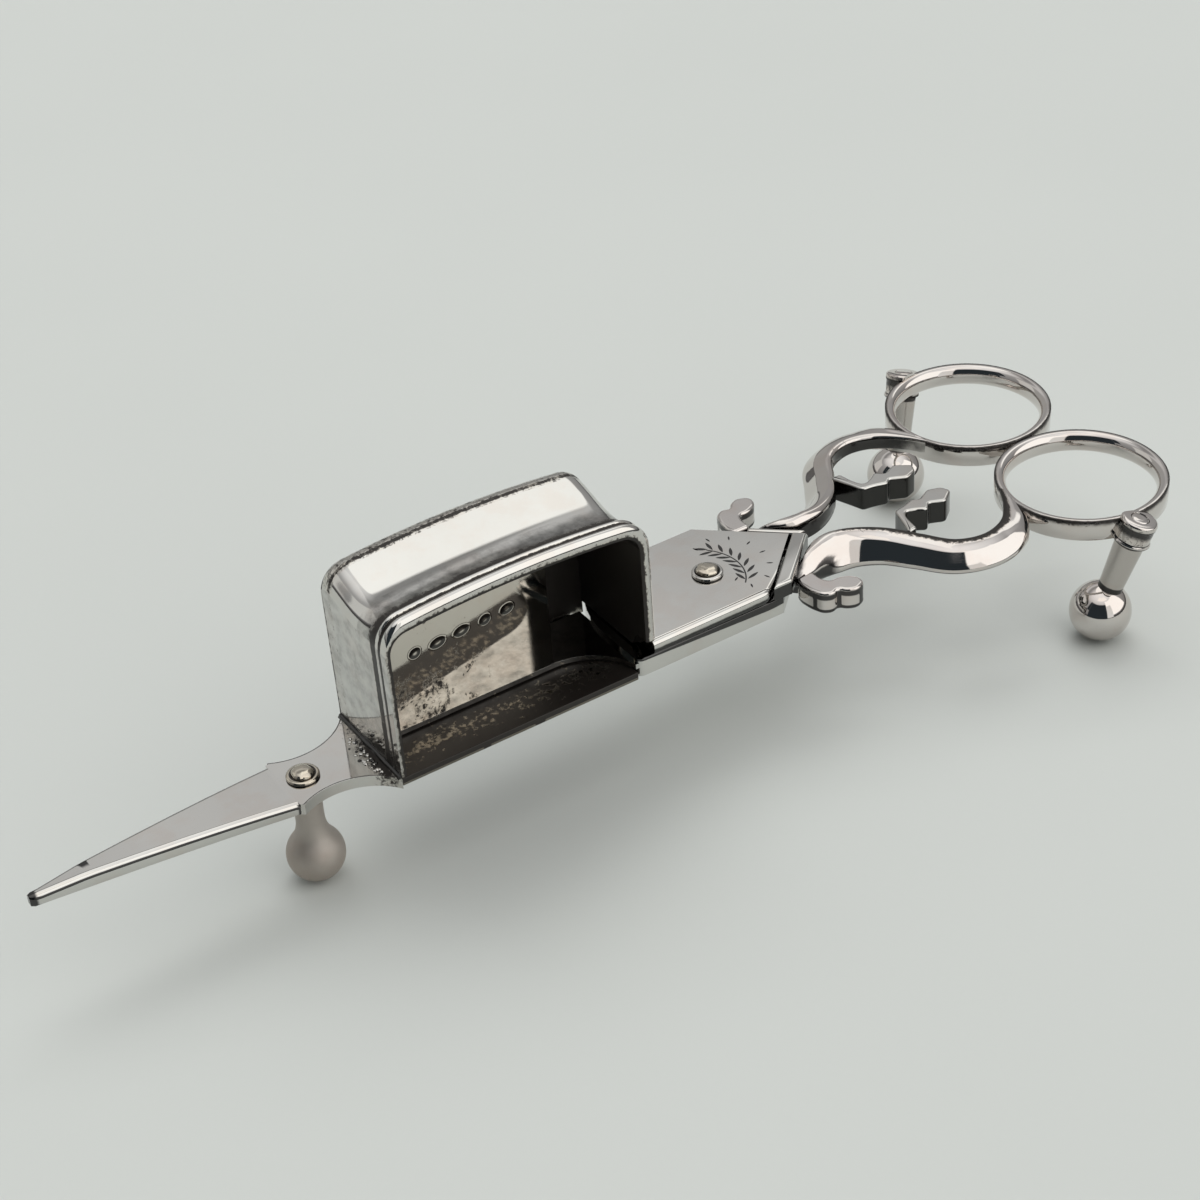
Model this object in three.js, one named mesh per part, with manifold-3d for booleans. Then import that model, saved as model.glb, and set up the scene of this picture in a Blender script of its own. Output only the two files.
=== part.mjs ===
// Candle snuffer scissors: two crossed arms that turn on one rivet and stand on three ball feet.
// The thumb arm carries the pricket point and the snuff box, the finger arm the blade and press plate.
// Millimetres, +Z up, table at z = 0. Inside the arms' groups the rivet is at x = 0, y = 0,
// +X runs towards the finger rings and the box is open towards -Y.

import * as THREE from 'three';
import { mergeVertices } from 'three/addons/utils/BufferGeometryUtils.js';
import Module from 'manifold-3d';

const wasm = await Module();
wasm.setup();

// Fits
const fitGap = 0.3; // clearance between neighbouring pieces
const cutMargin = 2; // how far a cutting shape runs past what it cuts
const softShare = 0.45; // most of a side that the rounding of one corner may take

// Levels
const floorTop = 18; // top of the box floor above the table
const floorThick = 1.3;
const pointThick = 1.8;
const bladeThick = 0.8;
const lowerPlateDrop = 1.2; // underside of the lower joint plate below the floor's top
const lowerPlateThick = 3;
const upperPlateThick = 2.2;
const upperPlateChamfer = 0.7; // along the upper plate's near edge

// Joint plates and their shoulders
const upperNear = 9.6; // rivet to the upper plate's edge towards -Y
const upperFar = 11.3; // and towards +Y
const lowerNear = 8.9; // the same for the lower plate
const lowerFar = 10.2;
const lowerPlateReach = 18.7; // rivet to the lower plate's round end
const endAngle = THREE.MathUtils.degToRad(47); // way that the slanted ends of the plates face
const endReach = 11.6; // rivet to a plate's slanted end
const ribInset = 1.5; // a plate stops this far short on the side of its own shoulder
const shoulderWidth = 2.5;
const shoulderStop = 4.5; // the shoulder's stop ends this far from the square off the rivet
const ribRise = 0.5; // thumb shoulder's rib above the upper plate

// Snuff box
const boxSetback = 16.2; // rivet to the outside of the box's right wall
const boxLength = 42;
const mouthReach = 9.1; // rivet to the mouth's plane, towards -Y
const boxDepth = 18.6;
const boxHeight = 26.5; // floor to the ends of the arched top, at the back
const boxCrown = 0.9; // rise of the arched top
const boxFall = 2.7; // the top would be this much lower at the mouth
const lipFall = 2; // and the lip on it this much
const boxCorner = 4;
const boxBackRound = 0.6; // upright edges of the back
const boxRoll = 2.5; // the top's rounding into the back
const boxRoundSteps = 6;
const tightestCorner = 0.5;
const boxWall = 0.9;
const lipDepth = 3.1;
const lipProud = 0.9; // reeds of the lip beyond the walls
const lipReeds = [ // share of the lip's depth, share of its rise
  [0, 0.35], [0.12, 0.8], [0.3, 1], [0.48, 0.55], [0.6, 0.4], [0.75, 0.85], [0.9, 0.6], [1, 0],
];
const beadRadius = 0.8; // solder bead at the foot of the left wall

// Blade and press plate
const bladeEndClear = 1.1; // blade's end to the inside of the left wall
const bladeNear = 0.9; // blade's straight edge from the rivet's line, towards -Y
const bladeFillet = 9.6; // hollow corner between the blade and the lower plate
const bladeHeel = 2.2; // blade behind the press plate
const pressThick = 0.9;
const pressAngle = THREE.MathUtils.degToRad(6.8);
const pressOffset = 7.7; // where the press plate's line would pass the rivet, towards +Y
const pressRight = 25; // rivet to the press plate's right end
const pressTopClear = 3.5; // under the lowest part of the box's ceiling
const pressCorner = 5;

// Pricket point and front foot
const pointLength = 52.2; // box to tip
const pointTipHalf = 0.45;
const pointStep = 14; // box to the small step behind the point
const pointStepHalf = 5.2;
const pointNotch = 0.5; // depth of that step
const waistOffset = 8.5; // box to the narrowest place
const waistHalf = 4.3;
const pointBevel = 0.9;
const frontFootOffset = 10.8; // box to the front foot
const frontBallRadius = 4.28;
const frontNeckRadius = 2.1;
const frontShoulderShare = 1.6; // radius where the ball meets the neck, in neck radii
const frontFlare = 0.3; // widening of the neck below and above its narrowest place
const frontTenonRadius = 1.35;
const burrRise = 0.5; // burred end of the tenon above its rose
const burrShare = 0.6; // its radius at the shoulder of the burr, in tenon radii

// Handles and finger rings
const handleTopRise = 4; // handle's top above the floor's top
const handleHeight = 5.6;
const handleWidth = 4.9;
const handleRoot = 2.8; // inner face of the handle beside the shoulder, from the centre line
const handleNarrow = 2.1; // inner face at its nearest to the centre line
const handleSwell = 16.6; // inner face at its farthest from the centre line
const handleBends = [ // share of the way to the ring, share of the way out to the swell
  [0.22, 0], [0.354, 0.07], [0.471, 0.283], [0.559, 0.6],
  [0.64, 0.9], [0.749, 1], [0.864, 0.91], [0.951, 0.683],
];
const handleThinFrom = 0.83; // share of its length where the handle starts to thin
const handleEndShare = 0.3; // share of its width that is left at the ring
const handleSquareShare = 2 / 3; // 1 is a half-round bar, less is squarer
const ringReach = 61.9; // rivet to a ring's centre
const ringOuter = 13.5;
const ringBand = 1.9;
const ringHeight = 3.5;
const ringDrop = 0.2; // ring's top below the handle's top
const ringEdgeShare = 0.35; // thickness of the ring at its upper and lower edges, in bands
const ringEntry = THREE.MathUtils.degToRad(200); // where the handle runs onto its ring
const scrollHeight = 3.6;
const scrollDrop = 0.8; // scroll's top below the handle's top
const scrollLeaf = [ // from its root, +X along and +Y outwards
  [0.2, 0], [3.1, 0], [3.1, 2.2], [3.7, 3.5], [5.1, 3.4], [6.8, 4.1], [7.9, 5.5], [7.6, 6.9],
  [5.8, 7.7], [4.2, 7], [3.5, 5.9], [2.1, 6.5], [0.7, 5.7], [0, 3.7], [-0.2, 1.6],
];
const scrollSoft = 0.7;
const spurHeight = 2.9;
const spurPlace = 0.48; // where the spur grows from the handle, as a share of its length
const spurRootShare = 0.075; // width of its root, as a share of the same length
const spurLeaf = [ // from the middle of its root, +X along and -Y inwards
  [0.5, -4], [2.2, -4.9], [6.4, -5.5], [7.4, -4.5], [10, -5.7], [12.5, -4.7],
  [12.8, -3.2], [10.5, -1.6], [7.8, -2.8], [6.6, -1.5], [3.6, -2.8], [2.4, -1.3],
];
const spurSoft = 0.5;

// Rear legs
const rearBallRadius = 4.85;
const rearBallInset = 3.1; // ball's centre from the socket's top, towards the centre line
const rearBallLead = 4.1; // and towards the box
const footFlat = 0.9; // radius of the worn flat under each foot
const socketRadius = 2.9;
const socketChamfer = 0.4;
const socketLength = 4.3;
const socketLead = 1.5; // socket's top from the ring's centre, towards the box
const socketBite = 1.8; // how far the socket reaches into the ring's outline
const postRadius = 1.95;
const postFlare = 0.4; // widening of the post towards its socket
const postSinkShare = 0.55; // foot of the post above the ball's centre, in ball radii
const tenonRadius = 1.2;
const tenonLength = 1;

// Pivot
const rivetRadius = 1.6;
const rivetHeadRadius = 1.85;
const rivetHeadRise = 0.9;
const rivetBurrRise = 0.45; // burred upper end above its rose
const rivetBurrShare = 0.65;
const roseRadius = 2.4;
const roseThick = 0.5;

// Places that follow from the sizes above
const bladeBottom = floorTop + fitGap;
const bladeTop = bladeBottom + bladeThick;
const lowerPlateBottom = floorTop - lowerPlateDrop;
const lowerPlateTop = lowerPlateBottom + lowerPlateThick;
const upperPlateBottom = lowerPlateTop + fitGap;
const upperPlateTop = upperPlateBottom + upperPlateThick;
const boxLeft = -boxSetback - boxLength;
const boxRight = -boxSetback;
const mouthY = -mouthReach;
const backY = mouthY + boxDepth;
const shellFrontY = mouthY + lipDepth + fitGap;
const tipX = boxLeft - pointLength;
const frontFootX = boxLeft - frontFootOffset;
const bladeEndX = boxLeft + boxWall + bladeEndClear;
const shoulderFace = endReach - ribInset + fitGap + shoulderWidth;
const handleTop = floorTop + handleTopRise;
const ringY = ringOuter + fitGap / 2;
const spurSeat = fitGap * 1.2; // the handle's face bends a little behind the spur's flat root
const socketTop = new THREE.Vector3(
  ringReach - socketLead,
  ringY + ringOuter + socketRadius - socketBite + fitGap,
  handleTop - ringDrop,
);
const rearBall = new THREE.Vector3(
  socketTop.x - rearBallLead,
  socketTop.y - rearBallInset,
  rearBallRadius,
);

// Outward normal of a plate's slanted end on the +Y side, and the way along it
const endNormal = new THREE.Vector2(Math.cos(endAngle), Math.sin(endAngle));
const endAlong = new THREE.Vector2(-endNormal.y, endNormal.x);

// Solids

function signedVolume(position, index) {
  const corners = [new THREE.Vector3(), new THREE.Vector3(), new THREE.Vector3()];
  let sum = 0;
  for (let i = 0; i < index.length; i += 3) {
    corners.forEach((corner, k) => corner.fromArray(position, index[i + k] * 3));
    sum += corners[0].dot(corners[1].cross(corners[2]));
  }
  return sum / 6;
}

// A closed geometry as a solid, with shared corners merged and faces turned outwards
function toSolid(geometry) {
  const bare = geometry.clone();
  bare.deleteAttribute('normal');
  bare.deleteAttribute('uv');
  const merged = mergeVertices(bare, 1e-4);
  const position = merged.attributes.position.array;
  const source = merged.index.array;
  const kept = [];
  for (let i = 0; i < source.length; i += 3) {
    const [a, b, c] = source.slice(i, i + 3);
    if (a !== b && b !== c && c !== a) kept.push(a, b, c);
  }
  if (signedVolume(position, kept) < 0) kept.reverse();
  const triVerts = Uint32Array.from(kept);
  const vertProperties = Float32Array.from(position);
  return new wasm.Manifold(new wasm.Mesh({ numProp: 3, vertProperties, triVerts }));
}

function toGeometry(solid) {
  const mesh = solid.getMesh();
  const geometry = new THREE.BufferGeometry();
  geometry.setAttribute('position', new THREE.BufferAttribute(mesh.vertProperties, 3));
  geometry.setIndex(new THREE.BufferAttribute(mesh.triVerts, 1));
  geometry.computeVertexNormals();
  return geometry;
}

// Shapes

function outline(points) {
  return new THREE.Shape(points.map(([x, y]) => new THREE.Vector2(x, y)));
}

// An outline whose corners are rounded off by curves that start this far from each corner
function softOutline(points, soft) {
  const shape = new THREE.Shape();
  const corners = points.map(([x, y]) => new THREE.Vector2(x, y));
  corners.forEach((corner, i) => {
    const before = corners.at(i - 1);
    const after = corners[(i + 1) % corners.length];
    const reach = (other) => Math.min(soft, corner.distanceTo(other) * softShare);
    const start = before.clone().sub(corner).setLength(reach(before)).add(corner);
    const end = after.clone().sub(corner).setLength(reach(after)).add(corner);
    if (i === 0) shape.moveTo(start.x, start.y);
    else shape.lineTo(start.x, start.y);
    shape.quadraticCurveTo(corner.x, corner.y, end.x, end.y);
  });
  shape.closePath();
  return shape;
}

// An outline in plan raised between two levels
function slab(shape, bottom, top, curveSegments = 4) {
  const settings = { depth: top - bottom, bevelEnabled: false, curveSegments };
  return toSolid(new THREE.ExtrudeGeometry(shape, settings).translate(0, 0, bottom));
}

function block(x0, x1, y0, y1, z0, z1) {
  const geometry = new THREE.BoxGeometry(x1 - x0, y1 - y0, z1 - z0);
  return toSolid(geometry.translate((x0 + x1) / 2, (y0 + y1) / 2, (z0 + z1) / 2));
}

// A profile of [radius, height] pairs turned about a vertical axis
function turned(profile, x, y, segments) {
  const points = profile.map(([radius, height]) => new THREE.Vector2(radius, height));
  const geometry = new THREE.LatheGeometry(points, segments).rotateX(Math.PI / 2);
  return toSolid(geometry.translate(x, y, 0));
}

function disc(radius, bottom, top, x, y, segments = 24) {
  return turned([[0, bottom], [radius, bottom], [radius, top], [0, top]], x, y, segments);
}

function washer(inner, outer, bottom, top, x, y, segments = 24) {
  const profile = [[inner, bottom], [outer, bottom], [outer, top], [inner, top], [inner, bottom]];
  return turned(profile, x, y, segments);
}

// Closed loops of points, each with as many points as the next, joined into one skin with flat ends
function loft(loops) {
  const count = loops[0].length;
  const position = loops.flat().flatMap((point) => point.toArray());
  const index = [];
  for (let i = 0; i + 1 < loops.length; i += 1) {
    for (let j = 0; j < count; j += 1) {
      const a = i * count + j;
      const b = i * count + ((j + 1) % count);
      index.push(a, b, b + count, a, b + count, a + count);
    }
  }
  const last = (loops.length - 1) * count;
  for (let j = 1; j + 1 < count; j += 1) {
    index.push(0, j + 1, j);
    index.push(last, last + j, last + j + 1);
  }
  const geometry = new THREE.BufferGeometry();
  geometry.setAttribute('position', new THREE.Float32BufferAttribute(position, 3));
  geometry.setIndex(index);
  return toSolid(geometry);
}

// The same solid on the other side of the centre line
function onSide(side, solid) {
  return side > 0 ? solid : toSolid(toGeometry(solid).scale(1, -1, 1));
}

// Pieces

const silver = { color: 0xcfc9c4, roughness: 0.12, metalness: 1 };
const paleSilver = { color: 0xd9d2cb, roughness: 0.3, metalness: 0.9 };
const sootySilver = { color: 0x8a837b, roughness: 0.35, metalness: 0.9 };

function addPiece(arm, name, solid, look) {
  const mesh = new THREE.Mesh(toGeometry(solid), new THREE.MeshStandardMaterial(look));
  mesh.name = name;
  arm.add(mesh);
}

// Pricket point: straight taper to the tip, a small step, then hollow sides out to the box
function makePoint() {
  const root = boxLeft - fitGap;
  const cornerHalf = mouthReach;
  const waistX = boxLeft - waistOffset;
  const run = root - waistX;
  const rise = cornerHalf - waistHalf;
  const hollow = (run * run + rise * rise) / (2 * rise);
  const stepX = boxLeft - pointStep;
  const notchX = stepX + pointNotch;
  const reach = Math.min(waistX - notchX, hollow * 0.9);
  const notchHalf = waistHalf + hollow - Math.sqrt(hollow * hollow - reach * reach);
  const startAngle = Math.atan2(cornerHalf - waistHalf - hollow, run);
  const endAngleOfHollow = Math.atan2(notchHalf - waistHalf - hollow, -reach);
  const shape = new THREE.Shape();
  shape.moveTo(root, -cornerHalf);
  shape.lineTo(root, cornerHalf);
  shape.absarc(waistX, waistHalf + hollow, hollow, startAngle, endAngleOfHollow, true);
  shape.lineTo(stepX, pointStepHalf);
  shape.lineTo(tipX, pointTipHalf);
  shape.lineTo(tipX, -pointTipHalf);
  shape.lineTo(stepX, -pointStepHalf);
  shape.absarc(waistX, -waistHalf - hollow, hollow, -endAngleOfHollow, -startAngle, true);
  shape.closePath();
  const plate = slab(shape, floorTop - pointThick, floorTop, 10);
  const hole = disc(
    frontTenonRadius + fitGap, floorTop - pointThick - cutMargin, floorTop + cutMargin, frontFootX, 0,
  );
  let point = plate.subtract(hole);
  for (const side of [1, -1]) point = point.subtract(pointBevelCut(side, stepX));
  return point;
}

// The sloping edge along each side of the point
function pointBevelCut(side, stepX) {
  const edge = [[stepX, pointStepHalf], [tipX - cutMargin, pointTipHalf]];
  const deep = pointBevel;
  const loops = edge.map(([x, half]) => [
    new THREE.Vector3(x, half - deep, floorTop),
    new THREE.Vector3(x, half - deep, floorTop + cutMargin),
    new THREE.Vector3(x, half + cutMargin, floorTop + cutMargin),
    new THREE.Vector3(x, half + cutMargin, floorTop - deep),
    new THREE.Vector3(x, half, floorTop - deep),
  ]);
  return onSide(side, loft(loops));
}

// Half a circle of [radius, height] from the foot's flat up to a neck
function ballProfile(radius, neck, steps) {
  const from = Math.asin(footFlat / radius) - Math.PI / 2;
  const to = Math.acos(neck / radius);
  const centre = radius * Math.cos(Math.asin(footFlat / radius));
  const points = [[0, 0]];
  for (let i = 0; i <= steps; i += 1) {
    const turn = THREE.MathUtils.lerp(from, to, i / steps);
    points.push([radius * Math.cos(turn), Math.max(0, centre + radius * Math.sin(turn))]);
  }
  return points;
}

// Pear-shaped front foot whose tenon goes up through the point and is burred over
function makeFrontFoot() {
  const underside = floorTop - pointThick - fitGap;
  const shoulder = frontNeckRadius * frontShoulderShare;
  const profile = ballProfile(frontBallRadius, shoulder, 9);
  const ballTop = profile.at(-1)[1];
  const neckFrom = ballTop + (frontBallRadius - frontNeckRadius);
  profile.push([frontNeckRadius + frontFlare, (ballTop + neckFrom) / 2]);
  profile.push([frontNeckRadius, neckFrom]);
  profile.push([frontNeckRadius + frontFlare, underside]);
  profile.push([frontTenonRadius, underside]);
  const roseTop = floorTop + fitGap + roseThick;
  profile.push([frontTenonRadius, roseTop]);
  profile.push([frontTenonRadius * burrShare, roseTop + burrRise * 0.8]);
  profile.push([0, roseTop + burrRise]);
  return turned(profile, frontFootX, 0, 24);
}

// Outline of the box seen from the mouth; fall lowers the arched top. A margin below zero draws
// it in all round, and one above zero pushes out the top and the right side alone
function boxOutline(y, margin, fall, bottom) {
  const left = boxLeft - Math.min(margin, 0);
  const right = boxRight + margin;
  const top = floorTop + boxHeight + margin - fall;
  const corner = Math.max(tightestCorner, boxCorner + margin);
  const shape = new THREE.Shape();
  shape.moveTo(left, bottom);
  shape.lineTo(left, top - corner);
  shape.absarc(left + corner, top - corner, corner, Math.PI, Math.PI / 2, true);
  const middle = (left + right) / 2;
  shape.quadraticCurveTo(middle, top + 2 * boxCrown, right - corner, top);
  shape.absarc(right - corner, top - corner, corner, Math.PI / 2, 0, true);
  shape.lineTo(right, bottom);
  return shape.getPoints(6).map((point) => new THREE.Vector3(point.x, y, point.y));
}

// How much lower the arched top is, from none at the back to all of it at the mouth
function fallAt(y, whole = boxFall) {
  return whole * THREE.MathUtils.clamp((backY - y) / boxDepth, 0, 1);
}

// Drop of a quarter round with this radius at a distance in from its upright side
function quarterRound(radius, inwards) {
  const rest = Math.max(0, radius - inwards);
  return radius - Math.sqrt(radius * radius - rest * rest);
}

// Distances in from the back at which the rounding of the top is drawn
function rollSteps(radius) {
  const steps = [];
  for (let i = boxRoundSteps; i >= 0; i -= 1) {
    steps.push(radius * (1 - Math.sin((i / boxRoundSteps) * (Math.PI / 2))));
  }
  return steps;
}

// The room inside the box, run out past its mouth and its foot
function boxInside() {
  const bottom = floorTop - cutMargin;
  const roll = boxRoll - boxWall;
  const loops = rollSteps(roll).map((inwards) => {
    const y = backY - boxWall - inwards;
    return boxOutline(y, -boxWall, fallAt(y) + quarterRound(roll, inwards), bottom);
  });
  for (const y of [mouthY + lipDepth, mouthY - cutMargin]) {
    loops.push(boxOutline(y, -boxWall, fallAt(y), bottom));
  }
  return loft(loops);
}

function makeBoxShell() {
  const bottom = floorTop + fitGap;
  const loops = rollSteps(boxRoll).map((inwards) => {
    const y = backY - inwards;
    const fall = fallAt(y) + quarterRound(boxRoll, inwards);
    return boxOutline(y, -quarterRound(boxBackRound, inwards), fall, bottom);
  });
  loops.push(boxOutline(shellFrontY, 0, fallAt(shellFrontY), bottom));
  const sill = block(
    -lowerPlateReach - fitGap, boxRight + cutMargin, mouthY - cutMargin, backY + cutMargin,
    floorTop - cutMargin, upperPlateBottom,
  );
  return loft(loops).subtract(boxInside()).subtract(sill);
}

// The lip round the mouth, with two reeds that stand proud of the walls
function makeBoxLip() {
  const bottom = floorTop + fitGap;
  const loops = lipReeds.map(([along, proud]) => {
    const y = mouthY + lipDepth * along;
    return boxOutline(y, lipProud * proud, fallAt(y, lipFall), bottom);
  });
  const sill = block(
    -lowerPlateReach - fitGap, boxRight + cutMargin, mouthY - cutMargin, backY, floorTop - cutMargin,
    upperPlateTop + fitGap,
  );
  return loft(loops).subtract(boxInside()).subtract(sill);
}

function makeBoxFloor() {
  return block(boxLeft, -lowerPlateReach - fitGap, mouthY, backY, floorTop - floorThick, floorTop);
}

// A quarter-round bead in the corner between the point and the left wall
function makeBead() {
  const corner = boxLeft - fitGap;
  const seat = floorTop + fitGap;
  const shape = new THREE.Shape();
  shape.moveTo(0, 0);
  shape.lineTo(beadRadius, 0);
  shape.absarc(0, 0, beadRadius, 0, Math.PI / 2, false);
  shape.closePath();
  const settings = { depth: 2 * mouthReach - 2 * fitGap, bevelEnabled: false, curveSegments: 5 };
  const geometry = new THREE.ExtrudeGeometry(shape, settings);
  geometry.rotateX(Math.PI / 2).rotateZ(Math.PI);
  return toSolid(geometry.translate(corner, -mouthReach + fitGap, seat));
}

// A point given by its distance square to a slanted end and its place along that end
function offEnd(reach, along) {
  return [
    endNormal.x * reach + endAlong.x * along,
    endNormal.y * reach + endAlong.y * along,
  ];
}

// Where a line at this distance square to the +Y slanted end meets the given y
function xOnEnd(reach, y) {
  return (reach - endNormal.y * y) / endNormal.x;
}

// Corner between the +Y and -Y slanted ends at their own distances
function endCorner(reachFar, reachNear) {
  return [(reachFar + reachNear) / (2 * endNormal.x), (reachFar - reachNear) / (2 * endNormal.y)];
}

// Upper joint plate, with its own shoulder on the -Y side
function makeUpperPlate() {
  const own = endReach - ribInset;
  const left = boxRight + fitGap;
  const shape = outline([
    [left, -upperNear],
    [xOnEnd(own, upperNear), -upperNear],
    endCorner(endReach, own),
    [xOnEnd(endReach, upperFar), upperFar],
    [left, upperFar],
  ]);
  const hole = disc(
    rivetRadius + fitGap, upperPlateBottom - cutMargin, upperPlateTop + cutMargin, 0, 0,
  );
  const edge = [left - cutMargin, xOnEnd(own, upperNear) + cutMargin].map((x) => [
    new THREE.Vector3(x, upperPlateChamfer - upperNear, upperPlateTop),
    new THREE.Vector3(x, upperPlateChamfer - upperNear, upperPlateTop + cutMargin),
    new THREE.Vector3(x, -upperNear - cutMargin, upperPlateTop + cutMargin),
    new THREE.Vector3(x, -upperNear - cutMargin, upperPlateTop - upperPlateChamfer),
    new THREE.Vector3(x, -upperNear, upperPlateTop - upperPlateChamfer),
  ]);
  return slab(shape, upperPlateBottom, upperPlateTop).subtract(loft(edge)).subtract(hole);
}

// Lower joint plate, with its own shoulder on the +Y side, and the thin blade over the box's floor
function makePressBlade() {
  const own = endReach - ribInset;
  const nearEdge = -lowerNear;
  const farStart = Math.asin(lowerFar / lowerPlateReach);
  const plate = new THREE.Shape();
  plate.moveTo(-lowerPlateReach, nearEdge);
  plate.lineTo(xOnEnd(endReach, lowerNear), nearEdge);
  plate.lineTo(...endCorner(own, endReach));
  plate.lineTo(xOnEnd(own, lowerFar), lowerFar);
  plate.absarc(0, 0, lowerPlateReach, Math.PI - farStart, Math.PI, false);
  plate.closePath();
  const blade = new THREE.Shape();
  const filletX = -lowerPlateReach - bladeFillet;
  const heel = (x) => pressLine(x) + pressThick + bladeHeel;
  blade.moveTo(bladeEndX, -bladeNear);
  blade.lineTo(filletX, -bladeNear);
  blade.absarc(filletX, -bladeNear - bladeFillet, bladeFillet, Math.PI / 2, 0, true);
  blade.lineTo(-lowerPlateReach / 2, -bladeNear - bladeFillet);
  blade.lineTo(-lowerPlateReach / 2, heel(-pressRight));
  blade.lineTo(-pressRight, heel(-pressRight));
  blade.lineTo(bladeEndX, heel(bladeEndX));
  blade.closePath();
  const trim = block(
    bladeEndX - cutMargin, 0, nearEdge - bladeFillet - cutMargin, nearEdge, 0, upperPlateTop,
  );
  const hole = disc(
    rivetRadius + fitGap, lowerPlateBottom - cutMargin, lowerPlateTop + cutMargin, 0, 0,
  );
  return slab(plate, lowerPlateBottom, lowerPlateTop, 10)
    .add(slab(blade, bladeBottom, bladeTop, 10))
    .subtract(trim)
    .subtract(hole);
}

// Near face of the press plate at this place along the box
function pressLine(x) {
  return pressOffset + x * Math.tan(pressAngle);
}

// Press plate: upright on the blade, with round upper corners
function makePressPlate() {
  const left = bladeEndX / Math.cos(pressAngle);
  const right = -pressRight / Math.cos(pressAngle);
  const bottom = bladeTop + fitGap;
  const top = floorTop + boxHeight - boxFall - boxWall - pressTopClear;
  const shape = new THREE.Shape();
  shape.moveTo(left, bottom);
  shape.lineTo(right, bottom);
  shape.lineTo(right, top - pressCorner);
  shape.absarc(right - pressCorner, top - pressCorner, pressCorner, 0, Math.PI / 2, false);
  shape.lineTo(left + pressCorner, top);
  shape.absarc(left + pressCorner, top - pressCorner, pressCorner, Math.PI / 2, Math.PI, false);
  shape.closePath();
  const settings = { depth: pressThick, bevelEnabled: false, curveSegments: 6 };
  const geometry = new THREE.ExtrudeGeometry(shape, settings);
  geometry.rotateX(Math.PI / 2).translate(0, pressThick, 0).rotateZ(pressAngle);
  return toSolid(geometry.translate(0, pressOffset, 0));
}

// Shoulder along a plate's slanted end: a bar at the plate's own level,
// and a stop that reaches past the other arm's plate
function makeShoulder(side, ownBottom, ownTop, stopBottom, stopTop, plateHalfWidth) {
  const inner = endReach - ribInset + fitGap;
  const bar = outline([
    [xOnEnd(inner, plateHalfWidth), plateHalfWidth],
    endCorner(inner, endReach),
    endCorner(shoulderFace, endReach),
    [xOnEnd(shoulderFace, plateHalfWidth), plateHalfWidth],
  ]);
  const stopInner = endReach + fitGap;
  const stop = outline([
    offEnd(stopInner, -shoulderStop),
    [xOnEnd(stopInner, fitGap), fitGap],
    [xOnEnd(shoulderFace, fitGap), fitGap],
    offEnd(shoulderFace, -shoulderStop),
  ]);
  const solid = slab(bar, ownBottom, ownTop).add(slab(stop, stopBottom, stopTop));
  return onSide(side, solid);
}

// Inner face of the handle in plan, from the shoulder out to its swell and onto the ring
function handleCurve() {
  const entry = new THREE.Vector2(
    ringReach + ringOuter * Math.cos(ringEntry),
    ringY + ringOuter * Math.sin(ringEntry),
  );
  const startX = xOnEnd(shoulderFace, handleRoot + handleWidth);
  const points = handleBends.map(([along, out]) => new THREE.Vector3(
    THREE.MathUtils.lerp(startX, entry.x, along),
    THREE.MathUtils.lerp(handleNarrow, handleSwell, out),
    0,
  ));
  points.unshift(new THREE.Vector3(startX - cutMargin, handleRoot, 0));
  points.push(new THREE.Vector3(entry.x, entry.y, 0));
  return new THREE.CatmullRomCurve3(points, false, 'centripetal');
}

// Share of the handle's full width at this share of its length
function handleTaper(along) {
  const thinned = Math.max(0, (along - handleThinFrom) / (1 - handleThinFrom));
  return THREE.MathUtils.lerp(1, handleEndShare, thinned);
}

// A full curve between 0 and 1, squarer than a circle's
function fullCurve(value) {
  return Math.sign(value) * Math.abs(value) ** handleSquareShare;
}

// Bar with a flat inner face and a full round outside, swept along the handle's curve
function handleBar() {
  const curve = handleCurve();
  const steps = 36;
  const arcSteps = 10;
  const loops = [];
  for (let i = 0; i <= steps; i += 1) {
    const along = i / steps;
    const face = curve.getPointAt(along);
    const way = curve.getTangentAt(along);
    const width = handleWidth * handleTaper(along);
    const height = THREE.MathUtils.lerp(handleHeight, ringHeight, along) / 2;
    const loop = [];
    for (let j = 0; j <= arcSteps; j += 1) {
      const turn = THREE.MathUtils.lerp(-Math.PI / 2, Math.PI / 2, j / arcSteps);
      const out = j % arcSteps === 0 ? 0 : width * fullCurve(Math.cos(turn));
      loop.push(new THREE.Vector3(
        face.x - way.y * out,
        face.y + way.x * out,
        handleTop - height + height * fullCurve(Math.sin(turn)),
      ));
    }
    loops.push(loop);
  }
  return loft(loops);
}

// Everything nearer the rivet than the shoulder's outer face
function shoulderSide(reach) {
  const far = 4 * upperFar;
  const shape = outline([
    offEnd(reach, -far), offEnd(reach, far), offEnd(reach - far, far), offEnd(reach - far, -far),
  ]);
  return slab(shape, floorTop - far, floorTop + far);
}

function makeHandle(side) {
  const ringRoom = disc(ringOuter + fitGap, 0, 2 * handleTop, ringReach, ringY, 64);
  const bar = handleBar().subtract(ringRoom).subtract(shoulderSide(shoulderFace + fitGap));
  return onSide(side, bar);
}

// Two-lobed leaf that curls outwards from the shoulder beside the handle's root
function makeScroll(side) {
  const rootY = handleRoot + handleWidth + fitGap;
  const rootX = xOnEnd(shoulderFace + fitGap, rootY);
  const shape = softOutline(scrollLeaf.map(([x, y]) => [rootX + x, rootY + y]), scrollSoft);
  const top = handleTop - scrollDrop;
  return onSide(side, slab(shape, top - scrollHeight, top, 3));
}

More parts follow.
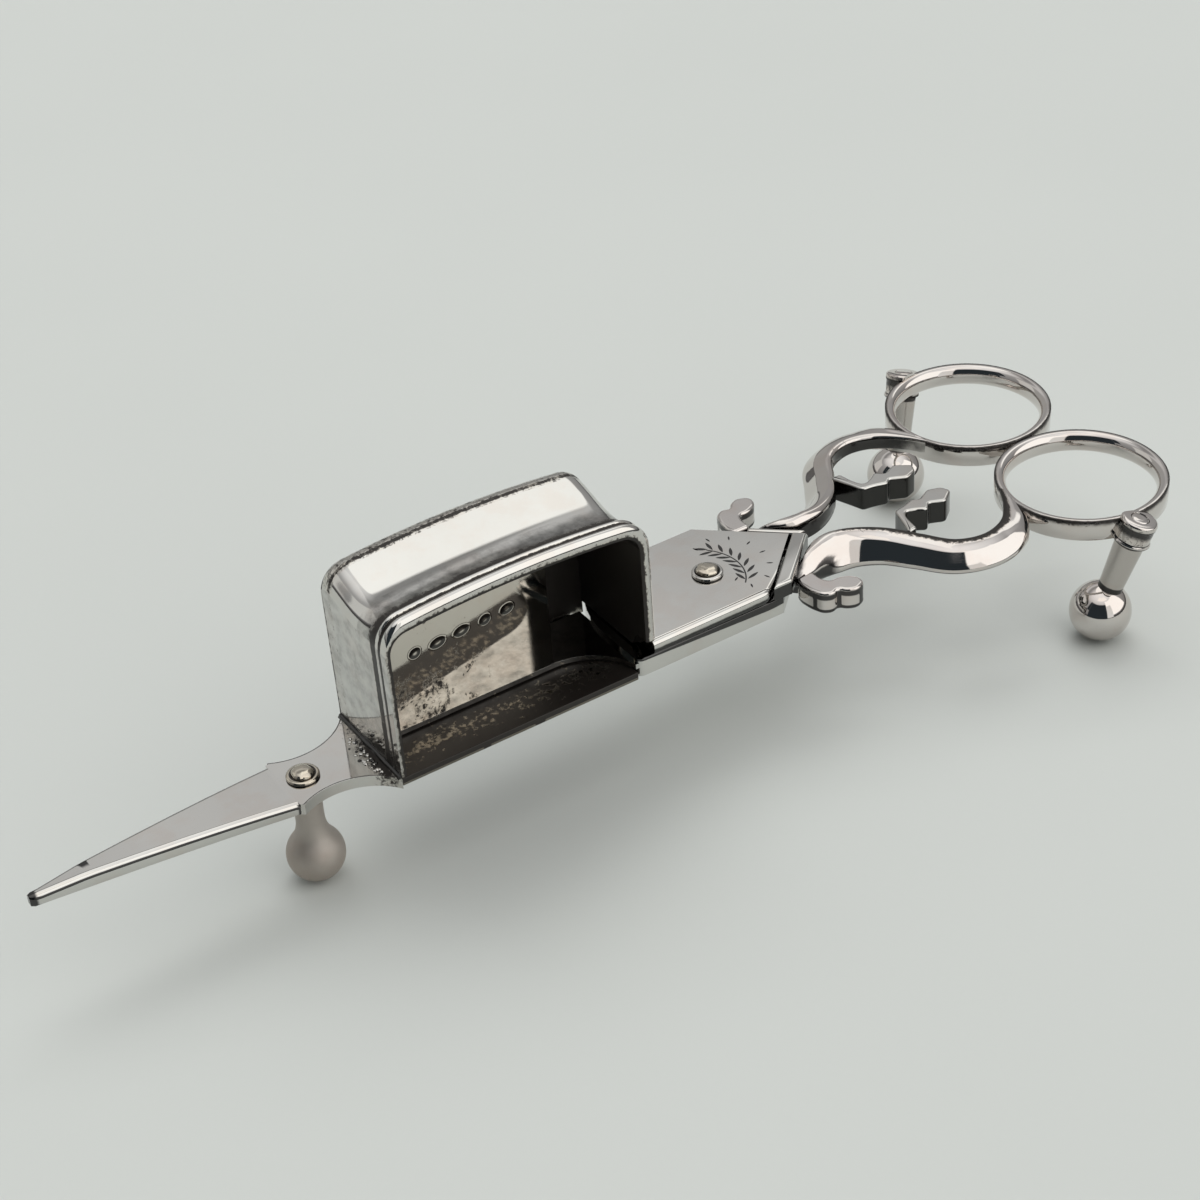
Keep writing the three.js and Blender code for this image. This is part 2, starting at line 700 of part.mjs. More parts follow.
// Zigzag leaf that springs from the handle's flat face towards the centre line
function makeSpur(side) {
  const curve = handleCurve();
  const root = curve.getPointAt(spurPlace);
  const seats = [spurPlace - spurRootShare / 2, spurPlace + spurRootShare / 2].map((along) => {
    const face = curve.getPointAt(along);
    const way = curve.getTangentAt(along);
    return [face.x + way.y * spurSeat, face.y - way.x * spurSeat];
  });
  const leaf = spurLeaf.map(([x, y]) => [root.x + x, root.y + y]);
  const shape = softOutline([seats[0], ...leaf, seats[1]], spurSoft);
  return onSide(side, slab(shape, handleTop - spurHeight, handleTop, 3));
}

// Finger ring: flat band outside, round inside
function makeRing(side) {
  const top = handleTop - ringDrop;
  const middle = top - ringHeight / 2;
  const profile = [[ringOuter, top - ringHeight], [ringOuter, top]];
  const arcSteps = 6;
  for (let i = 0; i <= arcSteps; i += 1) {
    const turn = THREE.MathUtils.lerp(Math.PI / 2, -Math.PI / 2, i / arcSteps);
    const reach = ringBand * THREE.MathUtils.lerp(ringEdgeShare, 1, Math.cos(turn));
    profile.push([ringOuter - reach, middle + (ringHeight / 2) * Math.sin(turn)]);
  }
  profile.push(profile[0]);
  return onSide(side, turned(profile, ringReach, ringY, 48));
}

// Rear leg: a leaning socket on the ring, a post pinned into it and a ball on the post
const legWay = socketTop.clone().sub(rearBall).normalize();
const legLength = socketTop.distanceTo(rearBall);

// A profile of [radius, distance up the leg from the ball's centre] turned about the leg
function turnedOnLeg(profile, segments) {
  const points = profile.map(([radius, height]) => new THREE.Vector2(radius, height));
  const geometry = new THREE.LatheGeometry(points, segments);
  const lean = new THREE.Quaternion().setFromUnitVectors(new THREE.Vector3(0, 1, 0), legWay);
  geometry.applyQuaternion(lean);
  return toSolid(geometry.translate(rearBall.x, rearBall.y, rearBall.z));
}

const socketFoot = legLength - socketLength;
const postFoot = rearBallRadius * postSinkShare;

// The room that the ring takes out of the leg beside it
function ringRoom() {
  const bottom = handleTop - ringDrop - ringHeight - fitGap;
  return disc(ringOuter + fitGap, bottom, 2 * handleTop, ringReach, ringY, 64);
}

function makeSocket(side) {
  const profile = [
    [0, socketFoot + tenonLength + fitGap],
    [tenonRadius + fitGap, socketFoot + tenonLength + fitGap],
    [tenonRadius + fitGap, socketFoot],
    [socketRadius - socketChamfer, socketFoot],
    [socketRadius, socketFoot + socketChamfer],
    [socketRadius, legLength - socketChamfer],
    [socketRadius - socketChamfer, legLength],
    [0, legLength],
  ];
  return onSide(side, turnedOnLeg(profile, 24).subtract(ringRoom()));
}

function makePost(side) {
  const profile = [
    [0, postFoot],
    [postRadius, postFoot],
    [postRadius + postFlare, socketFoot - fitGap],
    [tenonRadius, socketFoot - fitGap],
    [tenonRadius, socketFoot + tenonLength],
    [0, socketFoot + tenonLength],
  ];
  return onSide(side, turnedOnLeg(profile, 20).subtract(ringRoom()));
}

function makeBall(side) {
  const profile = ballProfile(rearBallRadius, 0, 14);
  const ball = turned(profile, rearBall.x, rearBall.y, 28);
  const seat = turnedOnLeg([
    [0, postFoot - fitGap],
    [postRadius + fitGap, postFoot - fitGap],
    [postRadius + fitGap, legLength],
    [0, legLength],
  ], 20);
  return onSide(side, ball.subtract(seat));
}

// Rivet through both plates, burred over a rose on each side
function makeRivet() {
  const low = lowerPlateBottom - fitGap - roseThick;
  const high = upperPlateTop + fitGap + roseThick;
  return turned([
    [0, low - rivetHeadRise],
    [rivetHeadRadius * 0.7, low - rivetHeadRise * 0.7],
    [rivetHeadRadius, low - fitGap],
    [rivetRadius, low - fitGap],
    [rivetRadius, high],
    [rivetRadius * rivetBurrShare, high + rivetBurrRise * 0.75],
    [0, high + rivetBurrRise],
  ], 0, 0, 24);
}

function makeRose(bottom, x, hole) {
  return washer(hole + fitGap, roseRadius, bottom, bottom + roseThick, x, 0);
}

// Assembly

const thumbArm = new THREE.Group();
const fingerArm = new THREE.Group();

addPiece(thumbArm, 'pricket_point', makePoint(), silver);
addPiece(thumbArm, 'front_foot', makeFrontFoot(), paleSilver);
addPiece(
  thumbArm, 'front_foot_rose', makeRose(floorTop + fitGap, frontFootX, frontTenonRadius), paleSilver,
);
addPiece(thumbArm, 'box_floor', makeBoxFloor(), sootySilver);
addPiece(thumbArm, 'box_bead', makeBead(), sootySilver);
addPiece(thumbArm, 'box_shell', makeBoxShell(), silver);
addPiece(thumbArm, 'box_lip', makeBoxLip(), silver);
addPiece(thumbArm, 'upper_joint_plate', makeUpperPlate(), silver);
addPiece(thumbArm, 'pivot_rivet', makeRivet(), paleSilver);
addPiece(thumbArm, 'pivot_rose_upper', makeRose(upperPlateTop + fitGap, 0, rivetRadius), silver);
addPiece(
  thumbArm, 'pivot_rose_lower', makeRose(lowerPlateBottom - fitGap - roseThick, 0, rivetRadius), silver,
);
addPiece(fingerArm, 'press_blade', makePressBlade(), silver);
addPiece(fingerArm, 'press_plate', makePressPlate(), sootySilver);

const thumbShoulder = makeShoulder(
  -1, upperPlateBottom, upperPlateTop + ribRise, lowerPlateBottom, upperPlateTop - fitGap, upperNear,
);
const fingerShoulder = makeShoulder(
  1, lowerPlateBottom, lowerPlateTop, lowerPlateBottom + fitGap, upperPlateTop, lowerFar,
);
addPiece(thumbArm, 'thumb_shoulder', thumbShoulder, silver);
addPiece(fingerArm, 'finger_shoulder', fingerShoulder, silver);

for (const [arm, prefix, side] of [[thumbArm, 'thumb', -1], [fingerArm, 'finger', 1]]) {
  addPiece(arm, `${prefix}_handle`, makeHandle(side), silver);
  addPiece(arm, `${prefix}_scroll`, makeScroll(side), silver);
  addPiece(arm, `${prefix}_spur`, makeSpur(side), silver);
  addPiece(arm, `${prefix}_ring`, makeRing(side), silver);
  addPiece(arm, `${prefix}_leg_socket`, makeSocket(side), silver);
  addPiece(arm, `${prefix}_leg_post`, makePost(side), silver);
  addPiece(arm, `${prefix}_leg_ball`, makeBall(side), silver);
}

// The origin is on the table under the middle of the snuffers' length
const snuffers = new THREE.Group();
snuffers.position.x = -(tipX + ringReach + ringOuter) / 2;
snuffers.add(thumbArm, fingerArm);

export default snuffers;
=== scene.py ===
import random
from math import sin, cos, tan, asin, atan2, pi, radians, degrees, sqrt

import bmesh
import bpy
from bmesh.types import BMEdge, BMFace, BMVert
from mathutils import Matrix, Vector, noise


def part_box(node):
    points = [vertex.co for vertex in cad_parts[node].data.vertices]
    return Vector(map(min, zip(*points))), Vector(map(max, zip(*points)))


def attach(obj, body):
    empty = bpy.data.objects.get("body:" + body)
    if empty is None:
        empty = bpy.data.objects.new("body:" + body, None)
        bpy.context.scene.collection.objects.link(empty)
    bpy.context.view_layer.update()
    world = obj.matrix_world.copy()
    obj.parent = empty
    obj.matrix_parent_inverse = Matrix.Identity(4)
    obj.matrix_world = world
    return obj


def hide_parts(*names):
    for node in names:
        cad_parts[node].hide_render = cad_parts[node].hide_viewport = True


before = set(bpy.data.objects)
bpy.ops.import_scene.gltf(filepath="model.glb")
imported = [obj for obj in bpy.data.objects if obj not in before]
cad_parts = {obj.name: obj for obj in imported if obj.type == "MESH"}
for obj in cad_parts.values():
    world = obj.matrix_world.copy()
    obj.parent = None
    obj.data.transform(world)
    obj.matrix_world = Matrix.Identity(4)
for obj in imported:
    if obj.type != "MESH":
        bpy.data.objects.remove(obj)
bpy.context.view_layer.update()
rivetLow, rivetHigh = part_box("pivot_rivet")
rivetX = (rivetLow.x + rivetHigh.x) / 2
perMetre = 1000  # shapes are drawn in millimetres round the rivet
toFrame = Matrix.Translation((rivetX, 0, 0)) @ Matrix.Scale(1 / perMetre, 4)
print("frame loaded")


# Finishes

class Wire:  # one socket of a finish, so that sums on it read as sums
    def __init__(self, finish, socket):
        self.finish, self.socket = finish, socket

    def worked(self, kind, first, second):
        kinds = [w.socket.type if isinstance(w, Wire) else type(w) for w in (first, second)]
        node = "ShaderNodeMath" if all(k in ("VALUE", int, float) for k in kinds) else "ShaderNodeVectorMath"
        return self.finish.node(node, {"operation": kind}, {0: first, 1: second})

    def __add__(self, other): return self.worked("ADD", self, other)
    def __radd__(self, other): return self.worked("ADD", other, self)
    def __sub__(self, other): return self.worked("SUBTRACT", self, other)
    def __rsub__(self, other): return self.worked("SUBTRACT", other, self)
    def __mul__(self, other): return self.worked("MULTIPLY", self, other)
    def __rmul__(self, other): return self.worked("MULTIPLY", other, self)
    def most(self, other): return self.worked("MAXIMUM", self, other)

    def size(self):
        return self.finish.node("ShaderNodeMath", {"operation": "ABSOLUTE"}, {0: self})

    def other(self, index):  # another output of the same node
        return Wire(self.finish, self.socket.node.outputs[index])

    def eased(self, low, high, start=0.0, end=1.0):
        return self.finish.node("ShaderNodeMapRange", {"interpolation_type": "SMOOTHSTEP"}, {
            "Value": self, "From Min": low, "From Max": high, "To Min": start, "To Max": end})

    def mixed(self, colour, share):
        return self.finish.node("ShaderNodeMix", {"data_type": "RGBA"}, {0: share, 6: self, 7: colour}, 2)


class Finish:  # the tree of nodes of a material or world, with one way to make them
    def __init__(self, owner):
        owner.use_nodes = True
        self.tree = owner.node_tree
        self.tree.nodes.clear()

    def node(self, kind, settings=None, sockets=None, output=0):
        made = self.tree.nodes.new(kind)
        for key, value in (settings or {}).items():
            if key == "stops":
                ramp = made.color_ramp
                while len(ramp.elements) < len(value):
                    ramp.elements.new(1.0)
                for stop, (place, colour) in zip(ramp.elements, value):
                    stop.position, stop.color = place, (*colour, 1)
            else:
                setattr(made, key, value)
        for key, value in (sockets or {}).items():
            socket = made.inputs[key]
            if isinstance(value, Wire):
                self.tree.links.new(value.socket, socket)
            elif socket.type == "RGBA":
                socket.default_value = (*value[:3], 1)
            elif socket.type == "VECTOR" and not hasattr(value, "__len__"):
                socket.default_value = (value,) * 3
            else:
                socket.default_value = value
        return Wire(self, made.outputs[output]) if made.outputs else None

    def spot(self):  # the place on the object, in millimetres round the rivet
        place = self.node("ShaderNodeTexCoord", output="Object")
        return (place - (rivetX, 0, 0)) * perMetre

    def parts(self, vector):
        first = self.node("ShaderNodeSeparateXYZ", None, {0: vector})
        return first, first.other(1), first.other(2)

    def cloud(self, spot, scale, detail=3.0, rough=0.55, warp=0.0):
        return self.node("ShaderNodeTexNoise", None, {
            "Vector": spot, "Scale": scale, "Detail": detail, "Roughness": rough, "Distortion": warp})

    def brushed(self, spot, turn, along, across):
        turned = self.node("ShaderNodeMapping", None, {
            "Vector": spot, "Rotation": (0, 0, radians(turn)), "Scale": (along, across, across)})
        return self.cloud(turned, 1.0, 3, 0.6)

    def painted(self, name):
        return self.node("ShaderNodeAttribute", {"attribute_name": name}, None, "Fac")

    def finished(self, **sockets):
        surface = self.node("ShaderNodeBsdfPrincipled", None, {
            key.replace("_", " "): value for key, value in sockets.items()}, "BSDF")
        self.node("ShaderNodeOutputMaterial", None, {"Surface": surface})


silverSet = {
    "tint": (0.622, 0.613, 0.585), "gloss": 0.035, "haze": 0.04, "scratch": 0.25, "relief": 0.000004,
    "blush": (0.99, 0.96, 0.945), "filmAndShade": (0.72, 0.62, 0.47),
    "dirt": (0.026, 0.022, 0.019), "dirtGloss": 0.42, "oxide": (0.028, 0.028, 0.029),
    # scale, detail, roughness, warp
    "shadeCloud": (0.06, 3), "patchCloud": (0.16, 4, 0.6), "hazeCloud": (0.45, 6, 0.65),
    "fleckCloud": (1.3, 6, 0.7, 0.6),
    "hairs": ((24, 0.25, 7.0), (-52, 0.3, 9.0)),  # turn, scale along, scale across
}


def silverLook(name, stain=None, **changes):  # painted grime is ragged, the painted oxide-and-shade layer is an even dark film: oxide in most places, painted shade or reflection in some
    ask = {**silverSet, **changes}
    material = bpy.data.materials.new(name)
    look = Finish(material)
    spot = look.spot()
    shade, patch, haze, fleck = [
        look.cloud(spot, *ask[name + "Cloud"]) for name in ("shade", "patch", "haze", "fleck")]
    first, second = [look.brushed(spot, *hair) for hair in ask["hairs"]]
    hair = first + second
    grime = look.painted("grime")
    if stain:
        grime = grime.most(stain(look, spot))
    dirt = (grime * (patch + 0.5) + (fleck - 0.5) * 1.5).eased(0.42, 0.7) * grime.eased(0.02, 0.2)
    oxide = (look.painted("oxide") + (haze - 0.5) * 0.5).eased(0.3, 0.75)
    filmAndShade = (grime * 0.7 + (haze - 0.5) * 0.5).eased(0.12, 0.75)
    clean = (shade * 0.16 + 0.91) * ask["tint"]
    clean = clean.mixed(clean * ask["blush"], patch.eased(0.45, 0.65))
    colour = clean.mixed(clean * ask["filmAndShade"], filmAndShade * 0.55)
    colour = colour.mixed(ask["oxide"], oxide * 0.93).mixed(ask["dirt"], dirt)
    worn = hair.eased(1.1, 1.35) * 0.05 + filmAndShade * 0.07 + oxide * 0.1 + dirt * ask["dirtGloss"]
    rough = (haze - 0.3) * ask["haze"] + ask["gloss"] + worn
    height = hair * ask["scratch"] + haze * 0.3 - dirt * 3
    bump = look.node("ShaderNodeBump", None, {"Strength": 1.0, "Distance": ask["relief"], "Height": height})
    look.finished(Base_Color=colour, Roughness=rough.most(0.02), Metallic=1 - dirt * 0.6, Normal=bump)
    return material


# Shapes

def capped(value):  # kept between 0 and 1
    return min(1, max(0, value))


def ofKind(made, kind):  # only the points, edges or faces of what was made
    return [g for g in made if isinstance(g, kind)]


def inScene(name, data):
    made = bpy.data.objects.new(name, data)
    bpy.context.scene.collection.objects.link(made)
    return made


def pieceFrom(name, shape, look, body, nodes, slot="silver", edge=0.14, angle=32, clamp=True):
    bmesh.ops.remove_doubles(shape, verts=shape.verts, dist=0.0015)
    bmesh.ops.recalc_face_normals(shape, faces=shape.faces)
    bmesh.ops.transform(shape, matrix=toFrame, verts=shape.verts)
    mesh = bpy.data.meshes.new(name)
    shape.to_mesh(mesh)
    shape.free()
    for each in look if isinstance(look, tuple) else (look,):
        mesh.materials.append(each)
    mesh.shade_smooth()
    piece = inScene(name, mesh)
    if edge:
        soft = piece.modifiers.new("softEdges", "BEVEL")
        soft.width, soft.segments = edge / perMetre, 3
        soft.limit_method, soft.angle_limit = "ANGLE", radians(angle)
        soft.harden_normals, soft.use_clamp_overlap = True, clamp
    else:
        mesh.set_sharp_from_angle(angle=radians(angle))
    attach(piece, body)
    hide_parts(*nodes)


class Pen:  # an outline drawn by a point that is pulled along and swung round
    def __init__(self, *start):
        self.shape = bmesh.new()
        self.tip = self.start = self.shape.verts.new(Vector(start).to_3d())

    def to(self, *place, steps=1):
        begin, end = self.tip.co.copy(), Vector(place).to_3d()
        for i in range(steps):
            self.tip = bmesh.ops.extrude_vert_indiv(self.shape, verts=[self.tip])["verts"][0]
            self.tip.co = begin.lerp(end, (i + 1) / steps)
        return self

    def swing(self, centre, turn, steps, axis=(0, 0, 1)):
        made = bmesh.ops.spin(
            self.shape, geom=[self.tip], cent=Vector(centre).to_3d(), axis=axis, angle=radians(turn),
            steps=steps)
        self.tip = ofKind(made["geom_last"], BMVert)[0]
        return self

    def filled(self):
        if (self.tip.co - self.start.co).length > 0.001:
            self.shape.edges.new((self.tip, self.start))
        bmesh.ops.remove_doubles(self.shape, verts=self.shape.verts, dist=0.001)
        bmesh.ops.edgeloop_fill(self.shape, edges=self.shape.edges)
        return self.shape

    def slab(self, low, high):  # the outline drawn out between two heights
        shape = self.filled()
        for vert in shape.verts:
            vert.co.z = low
        made = bmesh.ops.extrude_face_region(shape, geom=shape.faces[:])["geom"]
        bmesh.ops.translate(shape, verts=ofKind(made, BMVert), vec=(0, 0, high - low))
        return shape


def drawn(*points):  # an outline of straight lines
    pen = Pen(*points[0])
    for point in points[1:]:
        pen.to(*point)
    return pen


def drawnOn(shape, face, first):  # pulls a face on; only the first one stays, to close the end
    made = bmesh.ops.extrude_face_region(shape, geom=[face])["geom"]
    if not first:
        bmesh.ops.delete(shape, geom=[face], context="FACES_ONLY")
    return ofKind(made, BMFace)[0]


def rowOn(shape, edges):  # pulls a row of edges on, and gives the new points and edges
    made = bmesh.ops.extrude_edge_only(shape, edges=edges)["geom"]
    verts = ofKind(made, BMVert)
    fresh = set(verts)
    return verts, [e for e in ofKind(made, BMEdge) if set(e.verts) <= fresh]


def cutThrough(shape, place, way, **clear):  # a cut by a plane, closed again where a side is cleared away
    made = bmesh.ops.bisect_plane(
        shape, geom=shape.verts[:] + shape.edges[:] + shape.faces[:], plane_co=place, plane_no=way, **clear)
    if clear:
        bmesh.ops.edgeloop_fill(shape, edges=ofKind(made["geom_cut"], BMEdge))


def hammered(verts, wave, lift, depth, shift=(0, 0, 0)):  # dents as from a hand hammer
    for vert in verts:
        dent = noise.noise(vert.co * wave + Vector(shift))
        vert.co += Vector((vert.co.x, vert.co.y, lift)) * dent * depth


def turnedShape(profile, steps, ring=False):  # a profile of radius and height spun about its own axis
    shape = bmesh.new()
    dots = [shape.verts.new((radius, 0, height)) for radius, height in profile]
    pairs = zip(dots, dots[1:] + dots[:1]) if ring else zip(dots, dots[1:])
    lines = [shape.edges.new(pair) for pair in pairs]
    bmesh.ops.spin(
        shape, geom=dots + lines, cent=(0, 0, 0), axis=(0, 0, 1), angle=2 * pi, steps=steps, use_merge=True)
    bmesh.ops.remove_doubles(shape, verts=shape.verts, dist=0.001)
    return shape


def eased(points, each):  # a smooth curve through the points
    knots = [Vector(p).to_3d() for p in points]
    knots = [knots[0] * 2 - knots[1]] + knots + [knots[-1] * 2 - knots[-2]]
    curve = []
    for p0, p1, p2, p3 in zip(knots, knots[1:], knots[2:], knots[3:]):
        d0, d1, d2 = [max(1e-4, (b - a).length) ** 0.5 for a, b in ((p0, p1), (p1, p2), (p2, p3))]
        t1 = ((p1 - p0) / d0 - (p2 - p0) / (d0 + d1) + (p2 - p1) / d1) * d1
        t2 = ((p2 - p1) / d1 - (p3 - p1) / (d1 + d2) + (p3 - p2) / d2) * d1
        for i in range(each):
            t = i / each
            square = (p2 * 3 - p1 * 3 - t1 * 2 - t2) * t ** 2
            cube = (p1 * 2 - p2 * 2 + t1 + t2) * t ** 3
            curve.append(p1 + t1 * t + square + cube)
    return curve + [knots[-2]]


def moved(shape, matrix):
    bmesh.ops.transform(shape, matrix=matrix, verts=shape.verts)
    return shape


def joined(*shapes):  # several closed shapes in one piece
    mesh = bpy.data.meshes.new("joining")
    whole = bmesh.new()
    for shape in shapes:
        paints(shape)
        shape.to_mesh(mesh)
        whole.from_mesh(mesh)
        shape.free()
    bpy.data.meshes.remove(mesh)
    return whole


def paints(shape):  # both layers, of grime and of oxide with painted shade, made where they are missing
    layers = shape.verts.layers.float
    for name in ("grime", "oxide"):
        if layers.get(name) is None:
            layers.new(name)
    return {name: layers[name] for name in ("grime", "oxide")}


def paintTarnishAndShade(shape, amount, name="oxide"):  # tarnish, and in places painted shade, set by a function of the place
    layer = paints(shape)[name]
    for vert in shape.verts:
        vert[layer] = amount(vert.co)
    return shape


def sided(side, shape):  # the thumb's side is the mirror of the finger's
    return shape if side > 0 else moved(shape, Matrix.Scale(-1, 4, (0, 1, 0)))


arms = (("finger", 1, "finger_arm"), ("thumb", -1, "thumb_arm"))

plainSilver = silverLook("polishedSilver")
print("finishes ready")


# Snuff box: one skin that runs over the back, the arched top and the reeded lip, and back along the lining
boxSet = {
    "left": -58.2, "right": -16.2, "foot": 18.05, "sill": 20.15, "sillFrom": -17.0, "lipSill": 22.5,
    "top": 44.5, "corner": 4.0, "lean": 6.05, "back": 9.5, "roll": 2.5, "edge": 0.5, "wall": 0.9,
    "rollSteps": 12, "wallSteps": 12, "cornerSteps": 18, "archSteps": 48,
    "swellFrom": 14, "swellOver": 16,  # dots along the outline over which the reeds grow
    "fallFrom": 26, "fallOver": 14, "lipFall": 1.8,
    # place across, fall of the top
    "panel": ((7.0, 0.1), (6.0, 0.28), (3.5, 0.93), (1.5, 1.47), (0, 1.79), (-1.5, 1.97), (-3, 2.02),
              (-4.3, 1.93), (-5.2, 1.81)),
    "lining": ((-8.4, 2.2), (-7.5, 2.2), (-6.5, 2.2), (-5, 2.2), (-3, 2.2), (-1, 2.1), (1, 1.75), (3, 1.3),
               (5, 0.8), (7, 0.5), (8, 0.9), (8.4, 1.4), (8.6, 2.2)),
    # place across, step out of the wall, tarnish
    "lip": ((-5.5, 0.0, 0.75), (-5.7, 0.0, 0.95), (-6.0, 0.03, 1.3), (-6.15, 0.2, 1.2), (-6.3, 0.55, 0.5),
            (-6.5, 0.8, 0), (-6.7, 0.87, 0), (-6.9, 0.8, 0.1), (-7.1, 0.56, 0.9), (-7.3, 0.36, 1.3),
            (-7.45, 0.36, 1.3), (-7.6, 0.6, 0.9), (-7.8, 0.9, 0.1), (-8.05, 1.03, 0), (-8.35, 1.02, 0),
            (-8.65, 0.84, 0), (-8.9, 0.5, 0.15), (-9.06, 0.1, 0.3), (-9.1, -0.3, 0.5), (-9.05, -0.65, 1.1),
            (-8.9, -0.88, 1.2)),
}


def boxStations(ask=boxSet):  # place across, step out of the wall, fall of the top, tarnish, soot
    rows, steps = [], ask["rollSteps"]
    for i in range(steps + 1):
        turn = pi / 2 * (1 - i / steps)
        inwards = ask["roll"] * (1 - sin(turn))
        rest = max(0, ask["edge"] - inwards)
        edge = sqrt(ask["edge"] ** 2 - rest ** 2) - ask["edge"]
        spoil = 1.2 if i in (5, 6) else 0.3 if i < 5 else 0.5
        rows.append((ask["back"] - inwards, edge, ask["roll"] * (1 - cos(turn)) + 0.1 * i / steps, spoil, 0))
    for point in eased(ask["panel"], 5)[1:]:
        byRoll = 0.75 if point.x > 6.3 else 0.45 if point.x > 5.8 else 0
        byLip = 0.4 + 0.5 * (-4.3 - point.x) if point.x < -4.3 else 0
        rows.append((point.x, 0.0, point.y, max(byRoll, byLip), 0))
    for i, (y, step, spoil) in enumerate(ask["lip"]):
        rows.append((y, step, ask["lipFall"] + 0.02 * i, spoil, 0.6 if i > 19 else 0))
    return rows + [(y, -ask["wall"], fall, 0.5, 1.0) for y, fall in ask["lining"]]


def snuffBox(ask=boxSet):
    left, right, corner, lean = [ask[name] for name in ("left", "right", "corner", "lean")]
    turn, spring, middle, axis = 90 - lean, ask["top"] - corner, (right + left) / 2, (0, 1, 0)
    rows = boxStations()
    pen = Pen(left, 0, ask["foot"]).to(left, 0, spring, steps=ask["wallSteps"])
    pen.swing((left + corner, 0, spring), turn, ask["cornerSteps"], axis)
    sunk = (middle - pen.tip.co.x) / tan(radians(lean))
    pen.swing((middle, 0, pen.tip.co.z - sunk), 2 * lean, ask["archSteps"], axis)
    pen.swing((right - corner, 0, spring), turn, ask["cornerSteps"], axis)
    shape = pen.to(right, 0, ask["sill"], steps=ask["wallSteps"]).shape
    dots = [v.co.copy() for v in shape.verts]
    last = len(dots) - 1
    out = []
    for i in range(last + 1):
        way = dots[min(i + 1, last)] - dots[max(i - 1, 0)]
        out.append(Vector((-way.z, 0, way.x)).normalized())
    start = ask["swellFrom"]
    swell = [capped((i - start) / ask["swellOver"]) for i in range(last + 1)]  # reeds fade at the left corner
    swell = [s * s * (3 - 2 * s) for s in swell]
    seat = shape.verts.layers.int.new("seat")
    grime, soot, oxide = [shape.verts.layers.float.new(name) for name in ("grime", "soot", "oxide")]
    for i, vert in enumerate(shape.verts):
        vert[seat] = i

    def placed(verts, row):
        y, step, fall, spoil, black = row
        for vert in verts:
            i = vert[seat]
            base = dots[i] + out[i] * (step * swell[i] if step > 0 else step)
            base.z -= fall * capped((dots[i].z - ask["fallFrom"]) / ask["fallOver"])
            base.y = y
            if y < -5.9 and i > last - 4:
                base.z = max(base.z, ask["lipSill"])
            vert.co = base
            low = 0.75 * max(0, 1 - (base.z - 18) / 1.4)
            side = 0.5 if i < start and y > -5 else 1.0
            vert[grime] = max(spoil * side, low)
            vert[soot] = black
            # an even dark film on the left wall; over the rest, a band from y -1 to -5.6 that deepens towards
            # the lip is a painted reflection
            filmAndShade = 0.43 if i < start else 0.36 + 0.06 * (-1 - y) if -5.6 < y < -1 else 0
            vert[oxide] = filmAndShade if black == 0 else 0

    placed(shape.verts, rows[0])
    edges = shape.edges[:]
    ends = [sorted(shape.verts, key=lambda v: v[seat])]
    for row in rows[1:]:
        verts, edges = rowOn(shape, edges)
        placed(verts, row)
        ends.append(sorted(verts, key=lambda v: v[seat]))
    steps = []
    for loop in (ends[0], ends[-1]):  # back of the skin and back of the lining, with the step at the sill
        rest = [shape.verts.new((ask["sillFrom"], loop[0].co.y, ask[level])) for level in ("sill", "foot")]
        shape.faces.new(loop + rest)
        steps.append([loop[last], *rest, loop[0]])
    for (a, b), (c, d) in zip(zip(*steps), list(zip(*steps))[1:]):
        shape.faces.new((a, c, d, b))
    for i in (0, last):  # feet of the two walls
        shape.faces.new([loop[i] for loop in ends])
    shape.verts.layers.int.remove(seat)
    return shape


def sootyBox(look, spot):
    x = look.parts(spot)[0]
    return look.painted("soot") * (0.5 + (x + 40).eased(-2, 14) * 0.8)


pieceFrom("snuffBox", snuffBox(), silverLook("boxSilver", sootyBox, dirtGloss=0.3), "thumb_arm",
          ("box_shell", "box_lip"), edge=0)
print("snuff box made")


# Floor of the box, burnt dark, and the solder bead at the foot of its left wall
floorSet = {"left": -58.2, "right": -18.85, "near": -9.1, "far": 9.5, "low": 16.7, "high": 18.0}
beadSet = {
    "x": -58.2, "z": 18.0, "radius": 0.55, "near": -8.9, "far": 8.9, "steps": 60,
    # crumbs: number and seed, then ranges of size, distance, place along and flatness, and tarnish
    "crumbs": 46, "seed": 6, "size": (0.12, 0.36), "away": (1.0, 3.0, 1.3), "along": (-7.2, 4.5, -3.5),
    "flat": (0.4, 0.7), "tarnish": (0, 0, 0, 0.9),
}


def boxFloor(ask=floorSet):
    left, right, near, far = [ask[side] for side in ("left", "right", "near", "far")]
    return drawn((left, near), (right, near), (right, far), (left, far)).slab(ask["low"], ask["high"])


def solderBead(ask=beadSet):
    x, near, z, radius, steps = [ask[name] for name in ("x", "near", "z", "radius", "steps")]
    pen = Pen(x + 0.1, near, z - 0.1).to(x + 0.1, near, z + radius * 0.8)
    shape = pen.swing((x, near, z), -90, 7, (0, 1, 0)).to(x - radius, near, z - 0.1).filled()
    face = shape.faces[:][0]
    step = (ask["far"] - near) / steps
    for i in range(steps):
        face = drawnOn(shape, face, i == 0)
        bmesh.ops.translate(shape, verts=face.verts, vec=(0, step, 0))
    for vert in shape.verts:  # the bead ran a little unevenly
        wave = noise.noise(Vector((0, vert.co.y * 0.35, 3))) * 0.6
        away = Vector((vert.co.x - x, 0, vert.co.z - z))
        if away.x < 0.05 and away.z > -0.05:
            vert.co += away * wave
    return joined(paintTarnishAndShade(shape, lambda co: 0.95), solderCrumbs())


